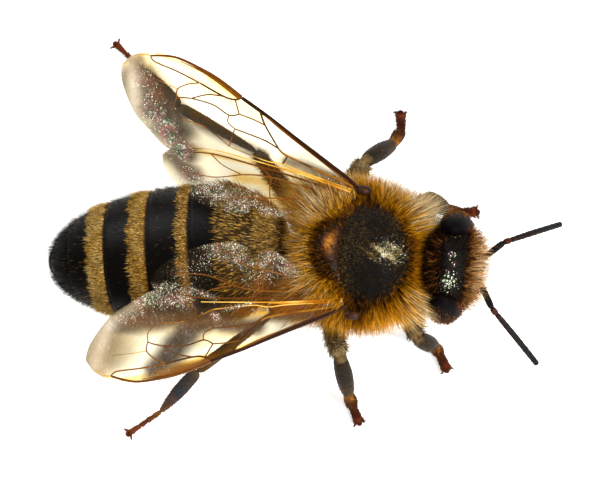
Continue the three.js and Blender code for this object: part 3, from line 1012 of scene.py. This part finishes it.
def membrane_look(place):
    """What lies on the clear skin: a beige bloom at the rim, a brown one over the painted shade,
    a painted oily sheen where it sparkles, and the painted sparkles."""
    glint, hue = sparkle(place)
    bloom = place.noise(5, 3).ramp("2e251a", "4c4030", "74664e")
    bloom = bloom.mix(paint("d8c8ac"), place.attribute("rim"))
    bloom = bloom.mix(paint("8a5610"), place.attribute("amber"))
    sheen = place.noise(1.3, 2).step(0.3, 0.7).ramp("3c5a34", "4a4438", "8a504c", "4c624a")
    painted_sparkle_colours = hue.ramp(*SPARKLE_PAINT)
    return {
        "Base Color": bloom.mix(sheen, place.attribute("glint")).mix(painted_sparkle_colours, glint),
        "Roughness": 0.16 + 0.25 * place.noise(6, 2),
        "Normal": place.noise(9, 3).bump(0.03),
    }


def membrane_shares(place):
    """How strong the amber tint and the painted shade are, and how much what lies on the skin
    covers it.
    """
    glint, hue = sparkle(place)
    painted_shade_film = place.attribute("painted_shade") * (0.55 + 0.8 * place.noise(1.6, 3))
    amber = place.attribute("amber") * (0.6 + 0.7 * place.noise(2.2, 3))
    veil = painted_shade_film * 0.5 + amber * 0.12 + place.attribute("rim") * 0.24
    veil = veil + place.attribute("glint") * 0.22
    return amber, painted_shade_film, 0.02 + veil + glint * (0.2 + 0.5 * hue)


def clear_skin(name):
    """The wing skin lets light through by its films, under what lies on it."""
    made = material(name, membrane_look, Specular_IOR_Level=0.5)
    tree = made.node_tree
    place = Socket(tree, tree.nodes.new("ShaderNodeTexCoord").outputs["Object"])
    layers = [place.node("BsdfTransparent", {"Color": (*tint, 1)}) for tint in FILMS.values()]
    layers.append(Socket(tree, tree.nodes["Principled BSDF"].outputs["BSDF"]))
    under = layers[0]
    for share, over in zip(membrane_shares(place), layers[1:]):
        under = under.node("MixShader", {0: share, 1: under, 2: over})
    tree.links.new(under.output, tree.nodes["Material Output"].inputs["Surface"])
    return made


wing_skin = clear_skin("wing_skin")


def streaked(piece, name, places, streaks):
    """Lays soft streaks on a wing as an attribute, from its points in the wing's own frame."""
    strength = np.zeros(len(places))
    for start, end, breadth, most in streaks:
        start, along = np.array(start), np.subtract(end, start)
        share = np.clip((places[:, :2] - start) @ along / (along @ along), 0, 1)
        away = np.linalg.norm(places[:, :2] - start - share[:, None] * along, axis=1)
        strength = np.maximum(strength, most * np.exp(-((away / breadth) ** 2)))
    layer = piece.data.attributes.new(name, "FLOAT", "POINT")
    layer.data.foreach_set("value", strength)


for side in ("left", "right"):
    base = wing_frame(side)
    for name, edges, drop in (
        ("forewing", (FORE_FRONT, FORE_HIND), 0),
        ("hindwing", (HIND_FRONT, HIND_HIND), HIND_DROP),
    ):
        bm = bmesh.new()
        membrane(bm, base, *edges, drop, 110, 28)
        piece = finished(bm, f"{name}_skin_{side}", wing_skin, "wing", f"{name}_{side}")
        flat = np.array([base.inverted() @ v.co for v in piece.data.vertices])
        marks = {"painted_shade": PAINTED_SHADE_STREAKS[side], "amber": AMBER[side], "glint": GLINTS[side], "rim": RIM}
        for mark, streaks in marks.items():
            streaked(piece, mark, flat, streaks)


# The veins: hollow rods that carry the wing skin. The thick dark one stiffens the front edge as
# far as the wing's eye, past which it is amber, and the rest branch into closed cells.
KNOTS = {
    "hinge": (0.1, -0.05),
    "fork": (3.95, 0.8),
    "stigma": (4.68, 0.93),
    "basal_mid": (3.58, 0.44),
    "basal_low": (2.83, -0.07),
    "cu_top": (2.46, -0.15),
    "cu_low": (2.49, -0.46),
    "cell_1_low": (4.5, 0.39),
    "cell_1_top": (4.84, 0.77),
    "cell_2_low": (4.78, 0.21),
    "cell_2_top": (5.23, 0.69),
    "cell_2_tip": (6.12, 0.14),
    "radial_tip": (6.12, 0.73),
    "cell_3_out": (6.66, 0.2),
    "cell_3_low": (6.56, -0.08),
    "disc_out": (4.71, -0.01),
    "disc_low": (4.4, -0.12),
    "disc_mid": (3.85, -0.06),
    "bend": (4.36, -0.43),
    "bend_low": (4.29, -0.72),
    "outer_low": (6.11, -0.63),
    "outer_mid": (5.27, -0.51),
    "marginal": (6.96, 0.72),
    "marginal_end": (7.73, 0.67),
    "marginal_tip": (7.95, 0.78),
}
VEIN_SWELL = 1.15
# Each vein: its places, its radii at its two ends, and how pale it is. The palest, near the
# hinge, are amber horn made brighter partly as painted glint.
FORE_VEINS = (
    ([(0.0, -0.02), (0.6, 0.13), (2.3, 0.46), (3.6, 0.74), "stigma"], (0.07, 0.055), 0.1),
    (["stigma", (5.5, 1.1), (6.2, 1.16), (7.2, 1.12), "marginal_tip"], (0.062, 0.03), 0.4),
    (["marginal_tip", (8.15, 0.72), (8.45, 0.42), (8.6, 0.12)], (0.022, 0.01), 0.8),
    ([(4.72, 0.87), (5.5, 1.02), (6.2, 1.09), (7.0, 1.08)], (0.046, 0.012), 0.52),
    ([(0.3, 0.0), (1.8, 0.31), (3.0, 0.55), "fork", "stigma"], (0.04, 0.034), 0.5),
    (["stigma", "cell_1_top", "cell_2_top", "radial_tip"], (0.03, 0.026), 0.3),
    (["radial_tip", "marginal", "marginal_end", "marginal_tip"], (0.024, 0.02), 0.5),
    (["fork", "basal_mid", "basal_low"], (0.03, 0.024), 0.3),
    (["basal_mid", (4.05, 0.44), "cell_1_low"], (0.02, 0.02), 0.45),
    (["cell_1_top", "cell_1_low"], (0.02, 0.02), 0.4),
    (["cell_1_low", "cell_2_low", (5.4, 0.28), "cell_2_tip"], (0.022, 0.02), 0.4),
    (["cell_2_top", (5.7, 0.5), "cell_2_tip"], (0.022, 0.02), 0.4),
    (["radial_tip", (6.45, 0.5), "cell_3_out", "cell_3_low"], (0.02, 0.018), 0.5),
    (["cell_2_tip", (6.4, 0.02), "cell_3_low"], (0.02, 0.018), 0.45),
    (["cell_3_low", (6.48, -0.4), "outer_low"], (0.016, 0.014), 0.6),
    (["outer_low", "outer_mid", "bend_low"], (0.014, 0.018), 0.6),
    (["cell_2_low", "disc_out", "disc_low"], (0.018, 0.018), 0.5),
    (["disc_low", "disc_mid", (3.3, -0.02), "basal_low"], (0.02, 0.024), 0.4),
    (["disc_low", "bend", "bend_low"], (0.018, 0.018), 0.5),
    (["hinge", (1.2, -0.1), "cu_top", "basal_low"], (0.04, 0.03), 0.6),
    (["cu_top", "cu_low"], (0.028, 0.028), 0.3),
    ([(0.1, -0.16), (1.88, -0.42), "cu_low", (3.03, -0.62), "bend_low"], (0.024, 0.016), 0.84),
    ([(0.1, -0.22), (1.8, -0.46), (2.5, -0.6)], (0.018, 0.008), 1.0),
    ([(0.1, -0.27), (1.8, -0.5), (3.08, -0.73), (4.64, -1.04)], (0.022, 0.014), 0.88),
    (["cell_3_out", (7.2, 0.18), (7.8, 0.12)], (0.014, 0.006), 0.8),
)
HIND_VEINS = (
    (
        [(0.45, -0.42), (1.8, -0.62), (3.08, -0.85), (4.64, -1.16), (5.5, -1.54)],
        (0.035, 0.016),
        0.4,
    ),
    (
        [(0.45, -0.48), (1.7, -0.82), (2.62, -1.0), (3.4, -1.3), (4.3, -1.85), (5.3, -2.1)],
        (0.03, 0.012),
        0.5,
    ),
    ([(2.62, -1.0), (3.0, -0.86)], (0.018, 0.018), 0.5),
    ([(3.55, -1.36), (4.2, -1.35), (4.7, -1.2)], (0.016, 0.014), 0.5),
    ([(0.45, -0.54), (1.3, -1.1), (2.1, -1.52), (2.9, -1.9), (3.7, -2.3)], (0.028, 0.012), 0.55),
    ([(2.62, -1.0), (2.5, -1.35), (2.35, -1.62)], (0.016, 0.016), 0.5),
)


def vein_look(place):
    grain = place.noise(5, 2)
    tone = place.attribute("mark") + 0.12 * grain
    return {
        # The brightest gold is partly painted glint on the pale veins near the hinge
        "Base Color": tone.ramp("140803", "2c1405", "4c2808", "74440c", "a8741e", "f4cc68"),
        "Roughness": 0.25 + 0.2 * grain,
    }


vein_horn = material("vein_horn", vein_look, Specular_IOR_Level=0.08)


def vein(bm, base, points, radii, tone, drop):
    """One rod through its points, which are knots by name or places."""
    flat = [KNOTS[point] if isinstance(point, str) else point for point in points]
    line = [Vector((x, y, wing_height(x, y) + drop)) for x, y in flat]
    form = limb(line, [radius * VEIN_SWELL for radius in radii], blunt=60)
    wrap(bm, base, 8, 8 * len(line), form, lambda turn, way: tone)


for side in ("left", "right"):
    base = wing_frame(side)
    for name, veins, drop in (("forewing", FORE_VEINS, 0), ("hindwing", HIND_VEINS, HIND_DROP)):
        bm = bmesh.new()
        for points, radii, tone in veins:
            vein(bm, base, points, radii, tone, drop)
        finished(bm, f"{name}_veins_{side}", vein_horn, "wing")


# The coat: hairs, dense and upright on the thorax, short and black on the crown, and flat on the
# abdomen. The real hairs are branched; each here is a tapered three-sided sliver rooted in the
# shell.
MOST_TRIANGLES = 190000
# How many roots each part of the coat starts from, before it is thinned
ROOTS = {
    "thorax": 84000,
    "scutellum": 3600,
    "head": 24000,
    "eye": 5200,
    "furred_ring": 16000,
    "felted_ring": 34000,
    "leg": 6400,
    "foot": 2200,
}
# Soles stay bare up to this height over the floor, in millimetres
SOLE = 0.12
PATCH = 0.0012
SINK = 0.008
DARK, BROWN, TAWNY, GOLD, STRAW = 0.05, 0.27, 0.5, 0.75, 1.0


def hair_look(roots, tips, turn):
    """Hair whose mark gives the dye, from black to pale, and that passes from its root's colour to
    its tip's by a share of its length. The darker roots are partly the hair's own colour and
    partly painted shade deep in the coat."""

    def look(place):
        dye = place.attribute("mark") + (place.noise(3, 2) - 0.5) * 0.14
        shade = place.attribute("tint").ramp("585858", "c0c0c0", "ffffff")
        passed = place.attribute("along").step(0, turn)
        tone = dye.ramp(*roots).mix(dye.ramp(*tips), passed)
        return {
            "Base Color": tone.mix(shade, 1.0, "MULTIPLY"),
            "Roughness": 0.5 + 0.2 * place.attribute("tint"),
        }

    return look


def felt_look(place):
    """Short flat hair on the abdomen: black, ochre or, where mark is high, yellow gold."""
    dye = place.attribute("mark") + (place.noise(3, 2) - 0.5) * 0.14
    shade = place.attribute("tint").ramp("707070", "c0c0c0", "ffffff")
    tones = dye.ramp("050403", "22160a", "967646", "f6bc40", "ffe8a8")
    return {
        "Base Color": tones.mix(shade, 1.0, "MULTIPLY"),
        "Roughness": 0.5 + 0.2 * place.attribute("tint"),
    }


def nap_look(place):
    """Short hair over the black shield: olive black, with painted golden glints where mark is
    high.
    """
    light = place.attribute("mark")
    return {
        "Base Color": light.ramp("050402", "180f05", "4a340e", "b08c38", "fff2be"),
        "Roughness": 0.3 + 0.2 * place.attribute("tint"),
    }


# From black to straw on the body, and browner, from black to fawn, on the face. The roots are
# darker than the tips, partly their own colour and partly painted shade deep in the coat.
HAIR_ROOTS_SHADED = ("040302", "120904", "462002", "784200", "a87018")
HAIR_TIPS = ("080604", "442510", "b66f08", "fcae0c", "ffeab4")
FACE_ROOTS_SHADED = ("040302", "0e0804", "34190a", "6a3c18", "9a6e40")
FACE_TIPS = ("060403", "4c280e", "ce863e", "fcc27c", "ffe6bc")
hair = material("hair", hair_look(HAIR_ROOTS_SHADED, HAIR_TIPS, 0.7), Specular_IOR_Level=0.02)
face_hair = material("face_hair", hair_look(FACE_ROOTS_SHADED, FACE_TIPS, 0.6), Specular_IOR_Level=0.02)
felt = material("felt", felt_look, Specular_IOR_Level=0.02)
nap = material("nap", nap_look, Specular_IOR_Level=0.3)


def unit(vectors):
    return vectors / np.maximum(np.linalg.norm(vectors, axis=1, keepdims=True), 1e-9)


def values(collection, name, width, kind=float):
    found = np.empty(len(collection) * width, kind)
    collection.foreach_get(name, found)
    return found.reshape(-1, width)


def roots_on(piece, base, count, rng):
    """Even roots over a shell, in the base frame: places, outward directions, marks, and their
    places on the shell's own unwrap."""
    mesh = piece.data
    mesh.calc_loop_triangles()
    corners = values(mesh.loop_triangles, "vertices", 3, np.int32)
    loops = values(mesh.loop_triangles, "loops", 3, np.int32)
    inverse = np.array(base.inverted())
    turn = np.array(base.to_3x3().normalized()).T
    places = values(mesh.vertices, "co", 3) @ inverse[:3, :3].T + inverse[:3, 3]
    outward = values(mesh.vertices, "normal", 3) @ turn.T
    marks = values(mesh.attributes["mark"].data, "value", 1)
    unwrap = values(mesh.uv_layers[0].uv, "vector", 2)
    a, b, c = (places[corners[:, i]] for i in range(3))
    area = np.linalg.norm(np.cross(b - a, c - a), axis=1)
    chosen = rng.choice(len(area), count, p=area / area.sum())
    shares = rng.dirichlet((1, 1, 1), count)[:, :, None]
    return {
        "place": (places[corners[chosen]] * shares).sum(axis=1),
        "out": unit((outward[corners[chosen]] * shares).sum(axis=1)),
        "mark": (marks[corners[chosen]] * shares).sum(axis=1)[:, 0],
        "unwrap": (unwrap[loops[chosen]] * shares).sum(axis=1),
    }


def thinned(roots, density, rng):
    keep = rng.random(len(density)) < density
    return {key: value[keep] for key, value in roots.items()}


def grown(base, roots, start, end, length, breadth, dye, rng, rings=2):
    """Hairs that leave the skin in their start direction and turn to their end direction."""
    count = len(roots["place"])
    start, end = unit(start), unit(end)
    side = unit(np.cross(start, rng.normal(size=(count, 3))))
    up = np.cross(start, side)
    length = np.broadcast_to(length, count)[:, None]
    breadth = np.broadcast_to(breadth, count)[:, None]
    root = roots["place"] - roots["out"] * SINK
    ways = [k / rings for k in range(rings)] + [1.0]
    spots, patches = [], []
    for way in ways:
        centre = root + length * (start * (way - way**2 / 2) + end * way**2 / 2)
        radius = breadth / 2 * (1 - 0.6 * way)
        for k in range(3 if way < 1 else 1):
            angle = 2 * math.pi * k / 3
            reach = radius if way < 1 else 0
            spots.append(centre + reach * (math.cos(angle) * side + math.sin(angle) * up))
            patches.append(roots["unwrap"] + [PATCH * (k - 1), PATCH * (2 * way - 1)])
    turn = np.array(base)
    rows = {
        "co": np.stack(spots, axis=1) @ turn[:3, :3].T + turn[:3, 3],
        "unwrap": np.clip(np.stack(patches, axis=1), 0.001, 0.999),
        "along": np.tile(np.repeat(ways, [3] * rings + [1]), (count, 1)),
        "tint": np.repeat(rng.random((count, 1)), 3 * rings + 1, axis=1),
        "mark": np.repeat(np.broadcast_to(dye, count)[:, None], 3 * rings + 1, axis=1),
    }
    return rows


def sliver_faces(rings):
    """The triangles of one hair: its closed root, its sides and its tip."""
    faces = [(0, 2, 1)]
    for ring in range(rings):
        for k in range(3):
            a, b = 3 * ring + k, 3 * ring + (k + 1) % 3
            if ring == rings - 1:
                faces.append((a, b, 3 * rings))
            else:
                faces += [(a, b, b + 3), (a, b + 3, a + 3)]
    return np.array(faces)


def coat(name, slot, look, bundles):
    """Joins bundles of hairs with as many rings into pieces of a coat."""
    rows = {key: np.concatenate([b[key] for b in bundles]) for key in bundles[0]}
    points = rows["co"].shape[1]
    faces = sliver_faces((points - 1) // 3)
    hairs = len(rows["co"])
    parts = math.ceil(hairs * len(faces) / MOST_TRIANGLES)
    for part in range(parts):
        own = {key: value[part::parts] for key, value in rows.items()}
        count = len(own["co"])
        corners = (faces[None] + np.arange(count)[:, None, None] * points).ravel()
        mesh = bpy.data.meshes.new(name)
        mesh.vertices.add(count * points)
        mesh.vertices.foreach_set("co", own["co"].ravel())
        mesh.loops.add(len(corners))
        mesh.loops.foreach_set("vertex_index", corners.astype(np.int32))
        mesh.polygons.add(count * len(faces))
        mesh.polygons.foreach_set("loop_start", np.arange(0, len(corners), 3, dtype=np.int32))
        mesh.update(calc_edges=True)
        for key in ("along", "tint", "mark"):
            layer = mesh.attributes.new(key, "FLOAT", "POINT")
            layer.data.foreach_set("value", own[key].astype(np.float32).ravel())
        unwrap = own["unwrap"].reshape(-1, 2)[corners]
        layer = mesh.uv_layers.new(name="OFBake")
        layer.uv.foreach_set("vector", unwrap.astype(np.float32).ravel())
        mesh.shade_smooth()
        mesh.materials.append(look)
        label = name if parts == 1 else f"{name}_{part + 1}"
        placed(bpy.data.objects.new(label, mesh), slot)


def drift(places, rng, per_mm=2.2):
    """A slow sway over the skin, so that neighbouring hairs lean together in locks."""
    waves = rng.normal(size=(3, 3)) * per_mm * 2
    return np.sin(places @ waves + rng.random(3) * 6) * 0.5 + np.sin(places @ waves.T * 2.3) * 0.3


def scatter(count, spread, rng):
    return rng.normal(size=(count, 3)) * spread


SHIELD_MIDDLE = 0.38


def shield_reach(x, y):
    """How far out on the shield a place is: 1 at its rim, squared."""
    return ((x - SHIELD_MIDDLE) / 1.3) ** 2 + (y / 1.6) ** 2


def thorax_coat(rng):
    """Long golden fur round the sides, front and back, and a short dark nap on the shield."""
    roots = roots_on(thorax, thorax_frame, ROOTS["thorax"], rng)
    x, y, z = roots["place"].T
    above = z > 0
    bare = smooth(1.1, 0.9, ((x + 0.98) / 0.4) ** 2 + (y / 0.9) ** 2) * above
    ridge = np.hypot((x - SHIELD_MIDDLE) / 1.16, y / 1.77)
    arc = np.exp(-(((ridge - 1) / 0.07) ** 2)) * smooth(0.1, -0.4, x) * above
    shield = smooth(1.45, 0.6, shield_reach(x, y)) * smooth(0.3, 0.9, z)
    density = (1 - 0.5 * bare) * (1 - 0.93 * shield * (1 - bare))
    density = density * np.where(z < -0.8, 0.3, 0.75)
    density = np.maximum(density, 0.6 * arc)
    density = density * (1 - 0.6 * smooth(-1.2, -1.6, x) * smooth(0.8, 0.4, abs(y)))
    long = thinned({**roots, "disc": shield, "bare": bare, "arc": arc}, density, rng)
    x, y, z = long["place"].T
    count = len(x)
    disc, bare = long["disc"], long["bare"]
    away = unit(np.stack([x - 0.3, y, 0 * z], axis=1))
    sway = drift(long["place"], rng)
    start = long["out"] * 0.9 + away * 0.3 + sway * 0.2 + scatter(count, 0.18, rng)
    end = long["out"] * 0.4 + away * 0.85 + sway * 0.4 + scatter(count, 0.26, rng)
    side = smooth(0.8, 1.6, abs(y)) * smooth(1.5, 0.5, z)
    corner = smooth(1.05, 1.5, x) * smooth(0.6, 1.1, abs(y)) * smooth(1.6, 0.8, z)
    rear = smooth(-1.0, -1.5, x) + 1.1 * smooth(-0.7, -1.2, x) * smooth(0.5, 1.0, abs(y))
    ahead = smooth(1.2, 1.6, x) * smooth(0.3, 0.8, abs(y))
    size = 0.48 + 0.6 * side + 0.72 * corner + 0.4 * ahead + 0.5 * rear
    size = size - 0.12 * smooth(0.9, 1.5, z)
    size = size * (1 - 0.55 * disc) * (1 - 0.5 * bare) * (0.3 + 0.7 * rng.random(count) ** 1.4)
    size = np.where(long["arc"] > 0.3, 0.16, size)
    end[:, 0] += 0.5 * corner + 0.6 * ahead
    wing_root_painted_shade = np.exp(-((x - 0.15) ** 2 + (abs(y) - 1.7) ** 2) / 0.1) * smooth(0.2, 0.6, z)
    dye = GOLD + 0.06 * rear - 0.4 * disc + 0.09 * rng.normal(size=count)
    dye = dye + 0.14 * smooth(0.1, -1.0, z)
    upper = smooth(-0.5, 0.3, z)
    # Painted light and shade in the dye below: the upper hair is lighter on the bee's left and
    # darker on its right, with more dark hairs in its right corner, and the hair round the wing
    # roots and just behind the head is darkened. The pale straw corners are the hair's own colour.
    dye = dye + (0.21 + 0.01 * np.sign(y) * upper) * corner
    dye = dye + 0.1 * smooth(0.6, 1.5, y) * side * upper
    dye = dye - 0.05 * smooth(0.8, 1.6, -y) * upper - 0.12 * smooth(0.9, 1.5, z)
    dye = dye - 0.32 * wing_root_painted_shade - 0.34 * bare
    dye = dye + 0.1 * smooth(-0.8, -1.3, x) * smooth(0.6, 1.2, y)
    dye = dye - 0.2 * smooth(1.3, 1.7, x) * smooth(0.9, 0.4, abs(y))
    dye = dye - 0.5 * corner * (rng.random(count) < np.where(y < 0, 0.24, 0.08))
    dye = np.where(long["arc"] > 0.3, TAWNY - 0.06 + 0.05 * rng.normal(size=count), dye)
    breadth = 0.015 + 0.008 * rng.random(count)
    rows = [grown(thorax_frame, long, start, end, size, breadth, np.clip(dye, 0, 1), rng)]

    over = roots_on(scutellum, scutellum_frame, ROOTS["scutellum"], rng)
    over = thinned(over, 0.75 * smooth(-0.2, 0.4, over["out"][:, 2]) * (1 - over["mark"]), rng)
    count = len(over["place"])
    lie = np.tile([-0.5, 0, 0], (count, 1)) + over["place"] * [0, 0.5, 0]
    start = over["out"] * 0.45 + lie + scatter(count, 0.3, rng)
    size = 0.1 + 0.2 * rng.random(count)
    dye = np.clip(0.2 + 0.36 * rng.random(count) ** 2, 0, 1)
    rows.append(grown(scutellum_frame, over, start, start + lie, size, 0.014, dye, rng))
    coat("coat_thorax", "fur", hair, rows)

    short = thinned(roots, shield, rng)
    x, y, z = short["place"].T
    count = len(x)
    back = np.tile([-0.75, 0, 0], (count, 1))
    start = short["out"] * 0.8 + back * 0.5 + scatter(count, 0.3, rng)
    end = short["out"] * 0.3 + back + scatter(count, 0.35, rng)
    # Painted highlight on the nap: hairs brightest in the gleam and speckled in patches, more so
    # towards the front; those lighter towards the rim blend into the golden fur.
    stretch = np.where(x < SHIELD_GLEAM[0], 0.62, 0.4)
    reach = ((x - SHIELD_GLEAM[0]) / stretch) ** 2 + ((y - SHIELD_GLEAM[1]) / 0.3) ** 2
    gleam = np.exp(-reach) * (0.6 + 0.4 * np.sin(9 * x + 14 * y))
    glint_patches = 0.46 + 0.5 * drift(short["place"], rng, 0.8)[:, 0]
    bright = rng.random(count) ** 3 * np.clip(glint_patches + 0.4 * smooth(0.7, 1.3, x), 0.2, 1)
    edge = smooth(0.4, 1.1, shield_reach(x, y))
    bright = bright + 2.4 * gleam * rng.random(count) + 0.24 * edge * rng.random(count)
    size = 0.1 + 0.08 * rng.random(count)
    breadth = 0.016 + 0.014 * np.exp(-reach)
    light = grown(thorax_frame, short, start, end, size, breadth, np.clip(bright, 0, 1), rng, 1)
    coat("nap_thorax", "fur", nap, [light])


def head_coat(rng):
    """A tawny brush over the face, black bristles on the crown and pale down behind the eyes."""
    roots = roots_on(head, head_frame, ROOTS["head"], rng)
    x, y, z = roots["place"].T
    face = smooth(0.3, 0.75, x)
    crown = smooth(0.7, 1.25, z) * (1 - face)
    rear = smooth(-0.1, -0.4, x)
    eye = smooth(1.22, 1.4, abs(y))
    shield = face * smooth(0.8, 0.5, abs(y)) * smooth(-0.1, -0.4, z)
    density = (0.55 + 0.05 * face + 0.2 * rear) * (1 - eye) * (1 - 0.6 * shield)
    beads = np.zeros(len(x), bool)
    for bx, by, _ in BEADS:
        beads |= (np.hypot(x - bx, y - by) < BEAD_RADIUS * 1.2) & (z > 0.8)
    density = np.where(beads, 0, density) * (1 - 0.9 * np.clip(roots["mark"] * 1.4, 0, 1))
    grow = thinned({**roots, "face": face, "crown": crown, "rear": rear}, density, rng)
    x, y, z = grow["place"].T
    count = len(x)
    face, crown, rear = grow["face"], grow["crown"], grow["rear"]
    sway = drift(grow["place"], rng, 3)
    ahead = np.stack([face * 0.9 + crown * 0.5 - rear * 0.6, 0.3 * y, 0.2 * crown], axis=1)
    start = grow["out"] * 0.8 + ahead * 0.6 + sway * 0.2 + scatter(count, 0.2, rng)
    end = grow["out"] * 0.3 + ahead + sway * 0.3 + scatter(count, 0.24, rng)
    size = 0.2 + 0.78 * face * smooth(-0.6, 0.9, z) + 0.5 * rear
    size = size * (0.3 + 0.7 * rng.random(count) ** 2)
    dye = DARK + (0.37 + 0.6 * rng.random(count)) * face + 0.06 * rng.normal(size=count)
    dye = dye + 0.3 * smooth(0.3, -0.6, z) + 0.12 * face * smooth(0.5, 0.0, abs(y))
    dye = dye + (0.26 * crown + 0.26 * rear) * rng.random(count) ** 4
    rows = grown(head_frame, grow, start, end, size, 0.014, np.clip(dye, 0, 1), rng)
    coat("coat_head", "fur", face_hair, [rows])


def eye_coat(rng):
    """Short fine hairs between the lenses, thickest and tawny at the outer rim."""
    rows = []
    for side in ("left", "right"):
        base = eye_frame(side)
        roots = roots_on(eyes[side], base, ROOTS["eye"], rng)
        outer = roots["out"][:, 1] * (1 if side == "left" else -1)
        rim = np.maximum(smooth(0.5, 0.95, outer), smooth(0.7, 0.98, roots["out"][:, 0]))
        low = smooth(0.5, 0.1, roots["out"][:, 2])
        grow = thinned(roots, 0.01 + 0.5 * rim * low, rng)
        count = len(grow["place"])
        start = grow["out"] + scatter(count, 0.14, rng)
        dye = BROWN + 0.04 + 0.14 * rng.random(count)
        rows.append(grown(base, grow, start, start, 0.12, 0.01, dye, rng, 1))
    coat("coat_eyes", "fur", face_hair, rows)


def abdomen_coat(rng):
    """Golden felt in bands, long tawny hair on the first two rings, sparse black hair between."""
    flat, long = [], []
    for number, plate in enumerate(plates):
        front = number < 2
        count = ROOTS["furred_ring" if front else "felted_ring"]
        roots = roots_on(plate, waist_frame, count, rng)
        way = roots["unwrap"][:, 1]
        shows = (way > 0.12) & (way < 0.87)
        above = smooth(-0.9, 0.1, roots["place"][:, 2])
        density = np.where(shows, 0.24 + 0.7 * roots["mark"], 0) * (0.3 + 0.7 * above)
        grow = thinned(roots, density, rng)
        count = len(grow["place"])
        gold = grow["mark"]
        flank = smooth(0.75, 0.35, grow["out"][:, 2])
        lie = np.tile([1.0, 0, 0], (count, 1))
        sway = drift(grow["place"], rng, 1.6)
        lift = 0.9 if front else 0.4
        start = grow["out"] * lift + lie + sway * 0.2 + scatter(count, 0.16, rng)
        rise = (0.12 + 0.5 * flank + 0.6 * (rng.random(count) < 0.2))[:, None]
        end = grow["out"] * rise + lie + sway * 0.3 + scatter(count, 0.2, rng)
        size = 0.1 + 0.07 * rng.random(count) + (0.42 * gold * rng.random(count) if front else 0)
        felted = smooth(0.1, 0.5, gold)
        size = size + 0.16 * flank * rng.random(count) ** 2
        paler = 0.3 * flank if number < TAIL_PLATE else 0
        pale = rng.random(count) < 0.08 + paler + 0.86 * felted
        light = (TAWNY + 0.03, TAWNY + 0.02, TAWNY + 0.22, GOLD, GOLD + 0.12, GOLD)[number]
        light = light + (0.3 if number < 3 else 0.1) * (rng.random(count) < 0.3)
        light = light + 0.1 * rng.normal(size=count)
        if not front:
            light = light + 0.26 * drift(grow["place"], rng, 5)[:, 1]
        dye = np.where(pale, light - 0.4 * (1 - felted), DARK + 0.2 * rng.random(count) ** 2)
        breadth = 0.009 + 0.01 * felted
        dye = np.clip(dye, 0, 0.86)
        rings = 2 if front else 1
        rows = grown(waist_frame, grow, start, end, size, breadth, dye, rng, rings)
        (long if front else flat).append(rows)
    coat("coat_abdomen_front", "fur", felt, long)
    coat("coat_abdomen", "shell", felt, flat)


def leg_coat(rng):
    """Pale hair on the thighs, dark bristles on the shins and a short dense brush on the feet,
    which keeps to the rims of the hind ones."""
    for name, (path, upper, foot) in legs.items():
        hind = name.startswith("hind")
        roots = roots_on(upper, ROW, ROOTS["leg"], rng)
        reach = roots["mark"] * 5
        thigh = smooth(2.02, 1.75, reach)
        grow = thinned({**roots, "thigh": thigh, "reach": reach}, 0.26 + 0.5 * thigh, rng)
        count = len(grow["place"])
        line = unit(np.array([path[3] - path[2]] * count))
        start = grow["out"] * 0.9 + line * 0.5 + scatter(count, 0.25, rng)
        end = grow["out"] * 0.4 + line + scatter(count, 0.3, rng)
        size = 0.08 + (0.26 if hind else 0.38) * grow["thigh"] * rng.random(count) ** 2
        pale = STRAW - 0.1 if name != "fore_right" else BROWN
        near_knee = smooth(1.25, 1.6, grow["reach"]) * grow["thigh"]
        paler = 0.5 if name == "hind_left" else 0.1
        light = rng.random(count) < 0.6 * near_knee + paler * grow["thigh"]
        bristle = (0.5 if hind else 0.32) * (1 - 0.72 * (1 - hind) * grow["thigh"])
        dye = np.where(light, pale, bristle) + 0.1 * rng.normal(size=count)
        rows = [grown(ROW, grow, start, end, size, 0.014, np.clip(dye, 0, 1), rng)]
        count = ROOTS["foot"]
        grow = roots_on(foot, ROW, count, rng)
        line = unit(np.array([path[5] - path[4]] * count))
        across = unit(np.cross(line, [0, 0, 1]))
        edge = abs(np.sum(across * grow["out"], axis=1)) ** 3 if hind else np.ones(count)
        above = grow["place"][:, 2] > SOLE
        grow = thinned({**grow, "edge": edge, "line": line}, (0.2 + 0.8 * edge) * above, rng)
        count = len(grow["place"])
        line = grow["line"]
        start = grow["out"] * 0.6 + line + scatter(count, 0.2, rng)
        dye = (0.2 + 0.3 * grow["edge"] if hind else 0.14) + 0.24 * rng.random(count)
        rows.append(grown(ROW, grow, start, start + line, 0.1, 0.012, dye, rng))
        coat("coat_leg_" + name, "leg", hair, rows)


thorax_coat(np.random.default_rng(11))
head_coat(np.random.default_rng(12))
eye_coat(np.random.default_rng(13))
abdomen_coat(np.random.default_rng(14))
leg_coat(np.random.default_rng(15))
